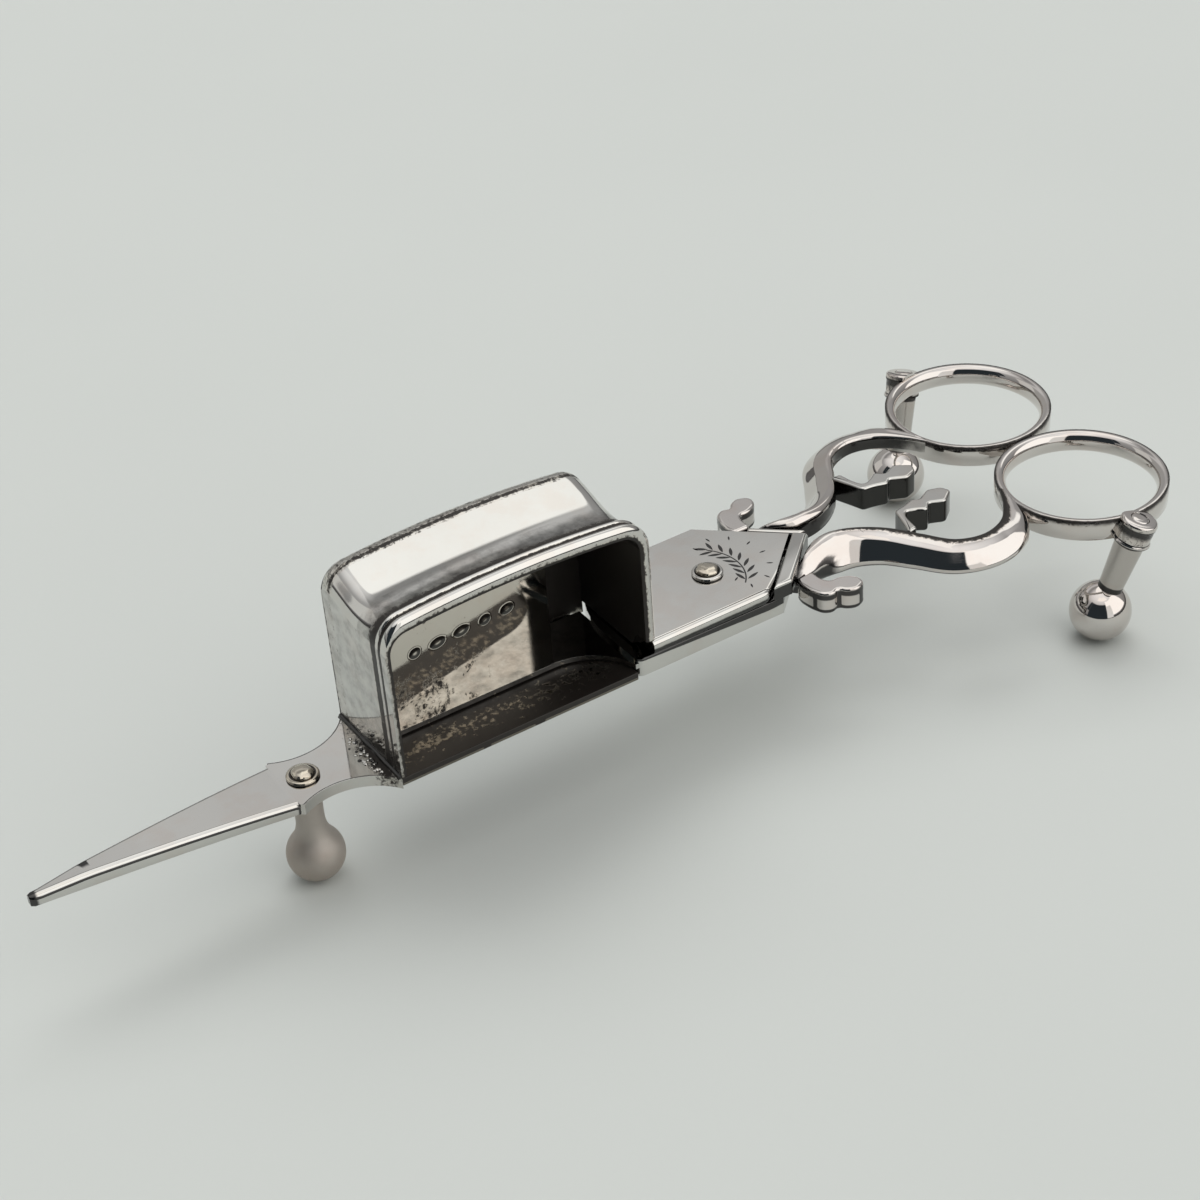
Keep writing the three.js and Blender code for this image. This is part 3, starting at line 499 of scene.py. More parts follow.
def solderCrumbs(ask=beadSet):  # specks that the solder left on the root of the point
    dice = random.Random(ask["seed"])
    shape = bmesh.new()
    layer = paints(shape)["oxide"]
    for i in range(ask["crumbs"]):
        size = dice.uniform(*ask["size"])
        x, y = ask["x"] - dice.triangular(*ask["away"]), dice.triangular(*ask["along"])
        place = Matrix.Translation((x, y, ask["z"] + size * 0.1))
        place = place @ Matrix.Scale(dice.uniform(*ask["flat"]), 4, (0, 0, 1))
        made = bmesh.ops.create_icosphere(shape, subdivisions=2, radius=size, matrix=place)
        dark = dice.choice(ask["tarnish"])
        for vert in made["verts"]:
            vert[layer] = dark
    return shape


def burntFloor(look, spot):
    x, y, z = look.parts(spot)
    worn = (look.cloud(spot, 1.1, 6) + (y + 4.4).size() * -0.06).eased(0.2, 0.62)
    gaps = look.cloud(look.node("ShaderNodeCombineXYZ", None, {0: x}), 0.35, 1).eased(0.36, 0.4)
    edge = y.eased(-9.03, -9.09) * z.eased(17.2, 17.1) * gaps
    return 1.2 - worn * 0.75 - edge * 2


floorLook = silverLook("burntFloor", burntFloor, tint=(0.19, 0.175, 0.15), gloss=0.12, dirtGloss=0.14)
pieceFrom("boxFloor", boxFloor(), floorLook, "thumb_arm", ("box_floor",), "sooty_silver")
pieceFrom("solderBead", solderBead(), silverLook("bead", gloss=0.1), "thumb_arm",
          ("box_bead",), "sooty_silver", edge=0, angle=50)
print("box floor made")


# Pricket point: a hollow-sided root and a bevelled blade
pointSet = {
    "root": -58.22, "half": 9.1, "waist": -66.7, "waistHalf": 4.3, "step": -72.2, "stepHalf": 5.2,
    "notch": 0.5, "tip": -110.0, "tipHalf": 0.8, "blunt": 0.6, "low": 16.2, "high": 18.0, "bevel": 0.5,
    "ramp": -101.5, "dip": 0.5, "rise": 0.9, "stations": (-77, -82, -88, -95),
    # side, share of the bevel, level, dark line
    "section": ((-1, 0.1, 0, 0.5), (-1, 0, 1, 0), (-1, 0, 2, 0), (-1, 0, 3, 1.2), (-1, 0.2, 4, 1),
                (-1, 0.36, 5, 0), (-1, 1.1, 6, 0), (-1, 1.5, 7, 0.3), (-1, 1.8, 7, 0)),
    "levels": (1.7, 1.4, 1, 0.8, 0.1, 0),  # below the top, as shares of the bevel
}


def pricketPoint(ask=pointSet):
    root, half, waist, step, wide = [ask[name] for name in ("root", "half", "waist", "step", "stepHalf")]
    run, rise = root - waist, half - ask["waistHalf"]
    hollow = (run * run + rise * rise) / (2 * rise)
    reach = waist - step - ask["notch"]
    away = sqrt(hollow * hollow - reach * reach)
    centre = ask["waistHalf"] + hollow
    turn = degrees(atan2(-away, -reach) - atan2(rise - hollow, run))
    pen = Pen(root, -half).to(root, half).swing((waist, centre), turn, 28)
    pen.to(step, wide).to(step, -wide).to(step + ask["notch"], -(centre - away))
    shape = pen.swing((waist, -centre), turn, 28).slab(ask["low"], ask["high"])
    lid = [f for f in shape.faces if f.calc_center_median().z > ask["high"] - 0.01]
    layer = paints(shape)["oxide"]
    for inset, dark in ((0.1, 0.95), (0.22, 0)):  # a dark line along the hollow edges
        bmesh.ops.inset_region(shape, faces=lid, thickness=inset, use_even_offset=True)
        for vert in lid[0].verts:
            vert[layer] = dark if vert.co.x > step + 0.4 else 0
    return joined(shape, pointBlade())


def pointBlade(ask=pointSet):
    section = [*ask["section"]] + [(1, *row[1:]) for row in reversed(ask["section"])]
    step, ramp, tip = ask["step"], ask["ramp"], ask["tip"]
    # place along, share of the dip, dark line
    stations = [(x, 0, 0) for x in (step + 0.6, step, step - 0.6, *ask["stations"], ramp + 0.7)]
    stations += [(ramp + 0.3, 0, 1), (ramp - 0.5, 0.05, 0.9), (ramp - 1.2, 0.1, 0), (tip + 1.6, 0.9, 0),
                 (tip + 0.5, 0.95, 1), (tip, 1.2, 1)]
    shape = bmesh.new()
    layer = paints(shape)["oxide"]
    loops = []
    for x, sink, line in stations:
        share = min(1, (x - tip) / (step - tip))
        half = ask["tipHalf"] + (ask["stepHalf"] - ask["tipHalf"]) * share
        half *= ask["blunt"] if x == tip else 1
        lift = ask["rise"] * (1 - share ** 3)
        top = ask["high"] - 0.004 - ask["dip"] * sink + lift
        bevel = min(ask["bevel"], half * 0.5)
        low = ask["low"] + 0.004 + lift * 0.6
        levels = [low, low + 0.15] + [top - bevel * drop for drop in ask["levels"]]
        loop = []
        for side, inwards, level, dark in section:
            dot = shape.verts.new((x, side * (half - bevel * inwards), levels[level]))
            end = x > step - 0.2 and level < 6 or level == 6 and side > 0
            dot[layer] = 1 if end else max(dark, line if level > 5 and side > 0 or x < tip + 0.6 else 0)
            loop.append(dot)
        loops.append([shape.edges.new((a, b)) for a, b in zip(loop, loop[1:] + loop[:1])])
    for first, second in zip(loops, loops[1:]):
        bmesh.ops.bridge_loops(shape, edges=first + second)
    for loop in (loops[0], loops[-1]):
        bmesh.ops.edgeloop_fill(shape, edges=loop)
    return shape


def pointStain(look, spot):  # by the box's wall
    x, y = look.parts(spot)[:2]
    return (x + 58.2).eased(-4.2, -0.8) * (y + 3).size().eased(7.5, 2, 0.45, 1) * 0.85


pieceFrom("pricketPoint", pricketPoint(), silverLook("pointSilver", pointStain), "thumb_arm",
          ("pricket_point",), edge=0.1, angle=50)


# Front foot: a satin pear, its tenon burred over a rose
footSet = {
    "x": -69.0, "ball": 4.28, "flat": 0.9, "upTo": radians(38), "under": 16.25,
    "rose": (18.0, 0.55, 1.5, 2.4),  # seat, thickness, inner and outer radius
    # radius, height
    "neck": ((2.62, 8.0), (2.16, 9.6), (2.08, 11.2), (2.14, 13.4), (2.32, 15.4), (2.5, 16.25)),
    "burr": ((0, 17.8), (1.55, 17.8), (1.68, 18.45), (1.62, 18.85), (1.3, 19.1), (0.75, 19.25), (0, 19.3)),
}


def ballDots(radius, flat, upTo, steps):
    start = asin(flat / radius) - pi / 2
    centre = radius * cos(asin(flat / radius))
    dots = [(0.0, 0.0)]
    for i in range(steps + 1):
        turn = start + (upTo - start) * i / steps
        dots.append((radius * cos(turn), max(0.0, centre + radius * sin(turn))))
    return dots


def frontFoot(ask=footSet):
    ball = ballDots(ask["ball"], ask["flat"], ask["upTo"], 26)
    neck = eased((*ball[-2:], *ask["neck"]), 6)
    foot = turnedShape(ball + [(p.x, p.y) for p in neck[7:]] + [(0, ask["under"])], 72)
    burr = turnedShape(ask["burr"], 40)
    hammered(burr.verts, 0.9, 0.4, 0.14, (7, 1, 2))
    for face in burr.faces:
        face.material_index = 1
    return moved(joined(foot, burr), Matrix.Translation((ask["x"], 0, 0)))


def roseShape(low, thick, inner, outer):
    high = low + thick
    return turnedShape([
        (inner, low), (outer - 0.08, low), (outer, low + 0.1), (outer, high - 0.22),
        (outer - 0.1, high - 0.07), (outer - 0.3, high), (inner + 0.3, high), (inner + 0.08, high - 0.1),
        (inner, high - 0.25)], 64, True)


def darkRose(rise, low, *sizes):  # tarnished inside, and outside up to a rise above its seat
    dark = lambda co: 1 if co.z < low + rise or co.xy.length < 1.95 else 0
    return paintTarnishAndShade(roseShape(low, *sizes), dark)


satinSilver = silverLook("satinSilver", tint=(0.52, 0.48, 0.44), gloss=0.6, haze=0.2, scratch=1.2)
rivetSilver = silverLook("rivetSilver", tint=(0.6, 0.555, 0.47), gloss=0.1, haze=0.1)
pieceFrom("frontFoot", frontFoot(), (satinSilver, rivetSilver), "thumb_arm", ("front_foot",), "pale_silver",
          edge=0, angle=50)
rose = moved(darkRose(0.2, *footSet["rose"]), Matrix.Translation((footSet["x"], 0, 0)))
pieceFrom("frontFootRose", rose, rivetSilver, "thumb_arm", ("front_foot_rose",), "pale_silver",
          edge=0, angle=40)
print("point and front foot made")


# Joint plates, with the blade of the lower one and the press plate on it
plateSet = {
    "upperNear": 9.6, "upperFar": 11.3, "lowerNear": 8.9, "lowerFar": 10.2, "reach": 18.7, "left": -16.12,
    "endAngle": radians(47), "endReach": 11.6, "ownReach": 10.1, "round": 1.2,
    "upperLow": 20.1, "upperHigh": 22.3, "lowerLow": 16.8, "lowerHigh": 19.8,
    "groove": -8.67, "grooveHalf": 0.14, "grooveDeep": 0.16,
    "nook": ((-14, 0.045), (16.5, -0.075)), "nookLevel": 19.3,  # start and slope of two lines
}
bladeSet = {
    "end": -56.2, "near": 0.9, "hollow": 9.6, "heel": 2.2, "low": 18.3, "high": 19.1, "pressOffset": 7.7,
    "pressAngle": radians(6.8), "pressThick": 0.9, "pressRight": 25.0, "pressTop": 37.4, "pressCorner": 5.0,
    # place along, height, width
    "ovals": ((-49.0, 28.8, 1.1), (-45.0, 28.6, 1.5), (-40.8, 28.5, 1.5), (-36.6, 28.3, 1.1),
              (-32.6, 28.2, 1.3)),
    "punch": ((0, -0.1), (1, -0.1), (1, 0.02), (0.9, 0.07), (0.8, 0.08), (0.7, 0.05), (0.6, 0.02), (0, 0.02)),
}


def onEnd(reach, y):
    return (reach - sin(plateSet["endAngle"]) * y) / cos(plateSet["endAngle"])


def endCorner(far, near):
    return (far + near) / (2 * cos(plateSet["endAngle"])), (far - near) / (2 * sin(plateSet["endAngle"]))


def bevelled(shape, test, offset, segments):  # the edges whose two ends pass the test
    edges = [e for e in shape.edges if all(test(v.co) for v in e.verts)]
    bmesh.ops.bevel(
        shape, geom=edges, offset=offset, segments=segments, profile=0.5, affect="EDGES", material=-1)


def upperPlate(ask=plateSet):
    near, far, left = ask["upperNear"], ask["upperFar"], ask["left"]
    own, end = ask["ownReach"], ask["endReach"]
    shape = drawn((left, -near), (onEnd(own, near), -near), endCorner(end, own), (onEnd(end, far), far),
                  (left, far)).slab(ask["upperLow"], ask["upperHigh"])
    bevelled(shape, lambda co: co.y < -9.5 and co.x > 0, 1.0, 5)
    bevelled(shape, lambda co: co.y < -8.5 and co.z > 22, 0.75, 6)
    bevelled(shape, lambda co: co.y < -8.5 and co.z < 20.2, 0.75, 2)
    for side in (-1, 0, 1):  # a fine groove behind the moulded edge
        cutThrough(shape, (0, ask["groove"] + side * ask["grooveHalf"], 0), (0, 1, 0))
    inGroove = lambda co, off: abs(co.y - ask["groove"]) < off and co.z > 22
    for vert in shape.verts:
        if inGroove(vert.co, 0.01):
            vert.co.z -= ask["grooveDeep"]
    # below z 20.9 the plate is painted dark as shade in the undercut over the lower plate; the fine groove
    # holds oxide
    paintTarnishAndShade(shape, lambda co: 1 if co.z < 20.9 or inGroove(co, 0.05) else 0)
    return joined(shape, *engraving())


engravingSet = {
    "place": (-2.4, 0.1), "depth": (22.2, 22.312), "stem": 7.9, "spread": 41, "pairs": 7,
    # along, across, turn
    "ticks": ((4.7, 6.3, 110), (7.6, 7.2, 95), (10.4, 5.6, 60), (12.0, 2.7, 25), (12.3, -0.5, -5),
              (11.4, -3.6, -35), (9.0, -6.2, -70), (5.8, -6.7, -110), (5.0, -3.9, -150)),
}


def engraving(ask=engravingSet):  # a small sprig among ticks, cut with a fine tool
    stem, spread, pairs, cuts = ask["stem"], ask["spread"], ask["pairs"], []

    def leafCut(along, across, turn, long, wide):
        bend = (long * long + wide * wide) / (4 * wide)
        swing = -2 * degrees(asin(long / 2 / bend))
        pen = Pen(-long / 2, 0).swing((0, wide / 2 - bend), swing, 6).swing((0, bend - wide / 2), swing, 6)
        cut = moved(pen.slab(0, 1), Matrix.Rotation(radians(turn), 4, "Z"))
        cuts.append(moved(cut, Matrix.Translation((along, across, 0))))

    for tick in ask["ticks"]:
        leafCut(*tick, 1.1, 0.3)
    for i in range(pairs):
        turn = (2 * i / (pairs - 1) - 1) * (spread - 5)
        for side in (-1, 1):
            reach, place = stem + side * 0.95, radians(turn + 4)
            leafCut(reach * cos(place), reach * sin(place), turn + 90 - side * 42, 2.3, 0.55)
    start, end = radians(-spread - 4), radians(spread + 7)
    leafCut(stem * cos(end), stem * sin(end), spread + 98, 2.2, 0.6)
    pen = Pen(*(Vector((cos(start), sin(start), 0)) * stem)).swing((0, 0), 2 * spread + 4, 40)
    pen.to(*(pen.tip.co * (1 - 0.22 / stem))).swing((0, 0), -2 * spread - 4, 40)
    cuts.append(pen.slab(0, 1))
    low, high = ask["depth"]
    stand = Matrix.Translation((*ask["place"], low)) @ Matrix.Diagonal((1, 1, high - low, 1))
    return [paintTarnishAndShade(moved(cut, stand), lambda co: 1.0) for cut in cuts]


def lowerPlate(ask=plateSet):
    near, far, reach, curve = ask["lowerNear"], ask["lowerFar"], ask["reach"], ask["round"]
    start = degrees(asin(far / reach))
    pen = Pen(-reach + curve, -near).to(onEnd(ask["endReach"], near), -near)
    pen.to(*endCorner(ask["ownReach"], ask["endReach"])).to(onEnd(ask["ownReach"], far), far)
    pen.to(-reach * cos(radians(start)), far).swing((0, 0), start, 16)
    pen.to(-reach, -near + curve).swing((-reach + curve, -near + curve), 90, 6)
    plate = pen.slab(ask["lowerLow"], ask["lowerHigh"])
    bevelled(plate, lambda co: co.y < -8.8 and co.z > 19.7, 0.45, 3)
    lines = [(Vector((x, 0, ask["nookLevel"])), Vector((slope, 0, 1))) for x, slope in ask["nook"]]
    for place, way in lines:  # painted shadow in the nook under the upper plate, between two slanting lines
        for drop in (0, 0.12):
            cutThrough(plate, place - Vector((0, 0, drop)), way)
    nook = lambda co: co.y < -8.3 and all((co - place).dot(way) > -0.06 for place, way in lines)
    return paintTarnishAndShade(plate, lambda co: 1.1 if nook(co) else 0)


def bladeLeaf(ask=bladeSet):
    line = lambda x: ask["pressOffset"] + x * tan(ask["pressAngle"]) + ask["pressThick"] + ask["heel"]
    near, hollow, root, right = ask["near"], ask["hollow"], -plateSet["reach"] + 0.6, -ask["pressRight"]
    middle = -plateSet["reach"] - hollow
    drop = plateSet["lowerNear"] - near - 0.3
    pen = Pen(ask["end"], -near).to(middle, -near, steps=6)
    pen.swing((middle, -near - hollow), -90 + degrees(asin((hollow - drop) / hollow)), 24)
    pen.to(root, pen.tip.co.y).to(root, line(right)).to(right, line(right)).to(ask["end"], line(ask["end"]))
    return paintTarnishAndShade(pen.slab(ask["low"], ask["high"]), lambda co: 0.45)


def pressPlate(ask=bladeSet):
    left, right = [x / cos(ask["pressAngle"]) for x in (ask["end"], -ask["pressRight"])]
    foot, corner, top = ask["high"] - 0.05, ask["pressCorner"], ask["pressTop"]
    pen = Pen(left, foot).to(right, foot).to(right, top - corner)
    pen.swing((right - corner, top - corner), 90, 12).to(left + corner, top)
    pen.swing((left + corner, top - corner), 90, 12)
    shape = pen.slab(-ask["pressThick"], 0)
    dents = []
    for along, high, wide in ask["ovals"]:  # a row of plain oval punches
        oval = turnedShape(ask["punch"], 40)
        paintTarnishAndShade(oval, lambda co: 1 if co.xy.length > 0.95 or 0.55 < co.xy.length < 0.75 else 0.2)
        place = Matrix.Translation((along, high, 0)) @ Matrix.Diagonal((wide * 1.2, 1.15, 1, 1))
        dents.append(moved(oval, place))
    turned = Matrix.Translation((0, ask["pressOffset"], 0)) @ Matrix.Rotation(ask["pressAngle"], 4, "Z")
    return moved(joined(shape, *dents), turned @ Matrix.Rotation(pi / 2, 4, "X"))


shoulderSet = {  # lowest and highest point of the bar and of the stop, half length of the bar
    "thumb": ((20.1, 22.8), (16.8, 22.0), 9.6), "finger": ((16.8, 19.8), (17.1, 22.3), 10.2),
    "from": 0.5, "to": 2.8, "stopFrom": 0.3, "stopLong": 4.5, "stopEnd": 0.3,
}


def shoulderShape(side, bar, stop, half):
    ask, own = plateSet, shoulderSet
    inner, face = ask["ownReach"] + own["from"], ask["ownReach"] + own["to"]
    reach = ask["endReach"]
    rib = drawn((onEnd(inner, half), half), endCorner(inner, reach), endCorner(face, reach),
                (onEnd(face, half), half)).slab(*bar)
    bevelled(rib, lambda co: co.z > bar[1] - 0.01, 0.55, 4)
    normal = Vector((cos(ask["endAngle"]), sin(ask["endAngle"])))
    along = Vector((-normal.y, normal.x)) * own["stopLong"]
    begin, finish, end = reach + own["stopFrom"], face - 0.02, own["stopEnd"]
    block = drawn(normal * begin - along, (onEnd(begin, end), end), (onEnd(finish, end), end),
                  normal * finish - along).slab(*stop)
    bevelled(block, lambda co: co.z > stop[1] - 0.01, 0.4, 3)
    paintTarnishAndShade(block, lambda co: 0.8 if co.z < stop[1] - 0.3 else 0)
    # the near rib's sides below its top are painted dark as shade in the gap by the plate's end
    back = lambda co: 0.85 if co.z < bar[1] - 0.5 and side < 0 else 0
    return sided(side, joined(paintTarnishAndShade(rib, back), block))


plateLook = silverLook("plateSilver")
pieceFrom("upperJointPlate", upperPlate(), plateLook, "thumb_arm", ("upper_joint_plate",), edge=0.2, angle=40)
pieceFrom("lowerPlateAndBlade", joined(lowerPlate(), bladeLeaf()), plainSilver, "finger_arm",
          ("press_blade",), edge=0.12)


def pressStain(look, spot):
    x, z = look.parts(spot)[::2]
    low = z.eased(31, 22) * x.eased(-30, -46)
    return low * 0.3 + (look.cloud(spot, 0.35, 4) - 0.42).most(0) * 1.2


pressLook = silverLook("pressSilver", pressStain, tint=(0.62, 0.58, 0.515), gloss=0.04)
pieceFrom("pressPlate", pressPlate(), pressLook, "finger_arm", ("press_plate",), "sooty_silver", edge=0.12)
for arm, side, body in reversed(arms):
    shape = shoulderShape(side, *shoulderSet[arm])
    pieceFrom(arm + "Shoulder", shape, plainSilver, body, (arm + "_shoulder",))


rivetSet = {
    "head": 22.8, "roses": (0.6, 1.6, 2.4), "upperRose": 22.3, "lowerRose": -16.75,
    # radius, height
    "profile": ((0, 15.1), (0.7, 15.18), (1.3, 15.45), (1.72, 15.8), (1.6, 16.1), (1.55, 16.6), (1.55, 22.5),
                (1.72, 22.9), (1.66, 23.2), (1.4, 23.42), (0.9, 23.55), (0.4, 23.6), (0, 23.6)),
}


def rivetShape():
    shape = turnedShape(rivetSet["profile"], 48)
    hammered([v for v in shape.verts if v.co.z > rivetSet["head"]], 1.1, 0.5, 0.15)
    return shape


pieceFrom("pivotRivet", rivetShape(), rivetSilver, "thumb_arm", ("pivot_rivet",), "pale_silver",
          edge=0, angle=50)
rose = darkRose(0.25, rivetSet["upperRose"], *rivetSet["roses"])
pieceFrom("pivotRoseUpper", rose, plainSilver, "thumb_arm", ("pivot_rose_upper",), edge=0, angle=40)
rose = moved(roseShape(rivetSet["lowerRose"], *rivetSet["roses"]), Matrix.Scale(-1, 4, (0, 0, 1)))
pieceFrom("pivotRoseLower", rose, plainSilver, "thumb_arm", ("pivot_rose_lower",), edge=0, angle=40)
print("joint made")


# Handles, with their leaf scrolls and spurs, rings and rear legs
handleSet = {
    "face": ((8.66, 2.8), (19.14, 2.1), (24.31, 3.12), (28.82, 6.2), (32.21, 10.8), (35.33, 15.15),
             (39.53, 16.6), (43.97, 15.3), (47.32, 12.0), (49.21, 9.03)),
    "top": 22.0, "height": 5.6, "endHeight": 3.5, "width": 4.9, "thinFrom": 0.83, "endShare": 0.3,
    "dome": 1.1, "start": 13.0, "round": 3.2, "pull": 0.34, "cleanTo": 54, "cleanOver": 11, "turnAt": 0.36,
    # shares of width and height, grime, oxide: flat inner face, round top, facet, round underside
    "section": (
        (0, -0.62, 0, 1), (0, -0.42, 0, 1.1), (0, -0.2, 0.3, 1.1), (0.012, -0.12, 0.9, 0.6),
        (0.04, -0.06, 1.0, 0.2), (0.09, -0.02, 1.0, 0), (0.15, -0.003, 0.95, 0), (0.2, -0.005, 0.85, 0),
        (0.26, -0.015, 0.65, 0), (0.33, -0.034, 0.35, 0), (0.42, -0.068, 0.1, 0), (0.51, -0.112, 0, 0),
        (0.58, -0.157, 0, 0), (0.6, -0.172, 0, 0), (0.62, -0.197, 0, 0), (0.68, -0.272, 0, 0),
        (0.76, -0.372, 0, 0), (0.84, -0.472, 0, 0), (0.9, -0.547, 0, 0), (0.93, -0.59, 0, 0),
        (0.965, -0.65, 0, 0), (0.985, -0.72, 0, 0), (0.98, -0.79, 0, 0.3), (0.95, -0.85, 0, 1),
        (0.89, -0.905, 0, 1), (0.8, -0.95, 0, 0.7), (0.6, -0.985, 0, 0.3), (0.38, -0.94, 0, 0.3),
        (0.15, -0.76, 0, 0.6), (0.04, -0.66, 0, 0.9)),
}
ringSet = {"x": 61.9, "y": 13.65, "outer": 13.5, "band": 1.9, "low": 18.3, "high": 21.8}
ringCentre = Vector((ringSet["x"], ringSet["y"], 0))


def handleShape(spoil, ask=handleSet):
    curve = eased(ask["face"], 16)
    lengths = [0.0]
    for a, b in zip(curve, curve[1:]):
        lengths.append(lengths[-1] + (b - a).length)
    rounded, core = [], ask["turnAt"]
    for out, up, ragged, even in ask["section"]:  # the same section without its facet
        turn = atan2((up + 0.5) * 2, (out - core) / (1 - core))
        rounded.append((core + (1 - core) * cos(turn), (sin(turn) - 1) / 2) if out > core else (out, up))
    shape = bmesh.new()
    grime, oxide = paints(shape).values()
    seat = shape.verts.layers.int.new("seat")
    verts = []
    for i, (out, up, ragged, even) in enumerate(ask["section"]):
        vert = shape.verts.new((out, 0, up))
        vert[seat], vert[grime], vert[oxide] = i, ragged, even
        verts.append(vert)
    edges = [shape.edges.new(pair) for pair in zip(verts, verts[1:] + verts[:1])]
    first = edges
    for i, place in enumerate(curve):
        way = (curve[min(i + 1, len(curve) - 1)] - curve[max(i - 1, 0)]).normalized()
        share = lengths[i] / lengths[-1]
        thin = max(0, (share - ask["thinFrom"]) / (1 - ask["thinFrom"]))
        width = ask["width"] * (1 + (ask["endShare"] - 1) * thin)
        height = ask["height"] + (ask["endHeight"] - ask["height"]) * share
        flat = capped((share - 0.12) / 0.12) * capped((0.88 - share) / 0.1)
        dome = ask["dome"] * max(0, 1 - max(0, share - 0.25) / 0.35) ** 2
        worn = min(1, 0.4 + 0.6 * max(0, share - 0.2) / 0.12)
        if i:
            verts, edges = rowOn(shape, edges)
        for vert in verts:
            row = ask["section"][vert[seat]]
            out, up = Vector(rounded[vert[seat]]).lerp(Vector(row[:2]), flat)
            level = ask["top"] + height * up + dome * max(0, 1 - ((out - 0.4) / 0.45) ** 2) * (1 + min(0, up))
            vert.co = place + Vector((-way.y * width * out, way.x * width * out, level))
            vert[grime] = spoil * row[2] * worn
    for end in (first, edges):
        bmesh.ops.edgeloop_fill(shape, edges=end)
    shape.verts.layers.int.remove(seat)
    grime, oxide = paints(shape).values()
    inBand = ringSet["outer"] - 0.5
    for vert in shape.verts:  # the end lies along the ring and runs into its band
        away = Vector((vert.co.x, vert.co.y, 0)) - ringCentre
        if away.length < inBand:
            away = away.normalized() * inBand
            vert.co.x, vert.co.y = ringCentre.x + away.x, ringCentre.y + away.y
    normal = Vector((cos(plateSet["endAngle"]), sin(plateSet["endAngle"]), 0))
    cutThrough(shape, normal * ask["start"], normal, clear_inner=True)
    middle = Vector((ask["face"][0][1] + ask["width"] / 2, ask["top"] - ask["height"] / 2))
    for vert in shape.verts:  # the root is rounded towards the shoulder
        near = (vert.co.dot(normal) - ask["start"]) / ask["round"]
        if near < 1:
            pull = ask["pull"] * (1 - sqrt(max(0, 1 - (1 - near) ** 2)))
            vert.co.yz = vert.co.yz.lerp(middle, pull)
            # dark at the root, partly oxide and partly painted shade: in the crease by the shoulder and under
            # the root by the scroll
            vert[oxide] = max(vert[oxide], 0.9 * (1 - near) ** 3)
        if near < 2 and vert.co.z < 19.8:
            vert[oxide] = max(vert[oxide], 1.1 * min(1, 2 - near))
        vert[oxide] *= capped((ask["cleanTo"] - vert.co.x) / ask["cleanOver"])  # cleaner towards the ring
    return shape


scrollSet = {  # rows of height and tarnish
    "rows": ((17.4, 1.3), (18.1, 0.9), (18.4, 0), (19.6, 0), (20.3, 1.3), (21.2, 0)), "soft": 0.6,
    "creases": ((0.3, 4.6), (3.5, 5.9), (6.7, 7.35), (3.5, 3.4), (0.3, 1.0)), "root": (onEnd(13.0, 8.0), 7.9),
    "leaf": ((0.2, 0), (3.1, 0), (3.1, 2.2), (3.7, 3.5), (5.1, 3.4), (6.8, 4.1), (7.9, 5.5), (7.6, 6.9),
             (5.8, 7.7), (4.2, 7), (3.5, 5.9), (2.1, 6.5), (0.7, 5.7), (0, 3.7), (-0.2, 1.6)),
}
spurSet = {
    "rows": ((18.0, 0.6), (18.7, 1.3), (21.5, 1.3), (22.2, 0)), "soft": 0.5,
    "creases": (), "root": (30.0, 8.2),
    "leaf": ((0.6, 1.6), (1.3, -0.4), (1.9, -2.3), (2.5, -4.3), (4.5, -4.6), (6.7, -5.3), (7.5, -4.5),
             (10.1, -5.9), (12.3, -5.1), (13.0, -3.5), (10.5, -1.6), (8.0, -2.8), (6.8, -1.5), (5.3, -2.5),
             (3.8, -3.1), (3.1, -2.3), (2.7, -0.9), (2.4, 1.4)),
}


def leafSolid(ask):  # an outline with soft corners, drawn up row by row
    root = Vector(ask["root"])
    shape = drawn(*[root + Vector(place) for place in ask["leaf"]]).filled()
    bmesh.ops.bevel(
        shape, geom=shape.verts[:], offset=ask["soft"], segments=4, profile=0.5, affect="VERTICES",
        clamp_overlap=True, material=-1)
    layer = paints(shape)["oxide"]
    creases = [root + Vector(place) for place in ask["creases"]]
    face = shape.faces[:][0]
    for i, (level, dark) in enumerate(ask["rows"]):
        if i:
            face = drawnOn(shape, face, i == 1)
        for vert in face.verts:
            vert.co.z = level
            inCrease = any((vert.co.xy - crease).length < 0.45 for crease in creases)
            vert[layer] = 1.3 if inCrease and i < len(ask["rows"]) - 1 else dark
    return shape


def ringShape(ask=ringSet):
    low, high, outer = ask["low"], ask["high"], ask["outer"]
    middle, half = (low + high) / 2, (high - low) / 2
    profile = [(outer - 0.12, low), (outer, low + 0.14), (outer + 0.02, middle), (outer, high - 0.14),
               (outer - 0.12, high)]
    for i in range(15):
        turn = pi / 2 - pi * i / 14
        profile.append((outer - ask["band"] * (0.35 + 0.65 * cos(turn)), middle + half * sin(turn)))
    shape = turnedShape(profile, 144, True)
    edge = lambda co: 0.75 if co.z > high - 0.3 and co.xy.length > outer - 0.5 else 0
    paintTarnishAndShade(shape, lambda co: edge(co) if co.xy.length > outer - 0.2 else edge(co) * 0.4)
    return moved(paintTarnishAndShade(shape, lambda co: edge(co) * 0.8, "grime"), Matrix.Translation(ringCentre))


legSet = {
    "top": (60.4, 28.4, 21.8), "ball": (56.3, 25.3, 4.85), "radius": 4.85, "flat": 0.9, "length": 4.3,
    "post": 1.95, "postTop": 2.36, "intoRing": 0.7,
    # radius, height over the foot of the socket or its top
    "lower": ((0, 0), (2.55, 0), (2.86, 0.1), (3.0, 0.3), (3.0, 0.5), (2.9, 0.68), (2.8, 0.78), (2.78, 1.0)),
    "upper": ((2.78, -1.35), (2.84, -1.2), (2.9, -1.05), (2.92, -0.5), (2.84, -0.2), (2.62, -0.04), (2.4, 0),
              (1.5, 0), (1.42, -0.14), (1.34, -0.02), (1.2, 0.08), (0.6, 0.12), (0, 0.13)),
}


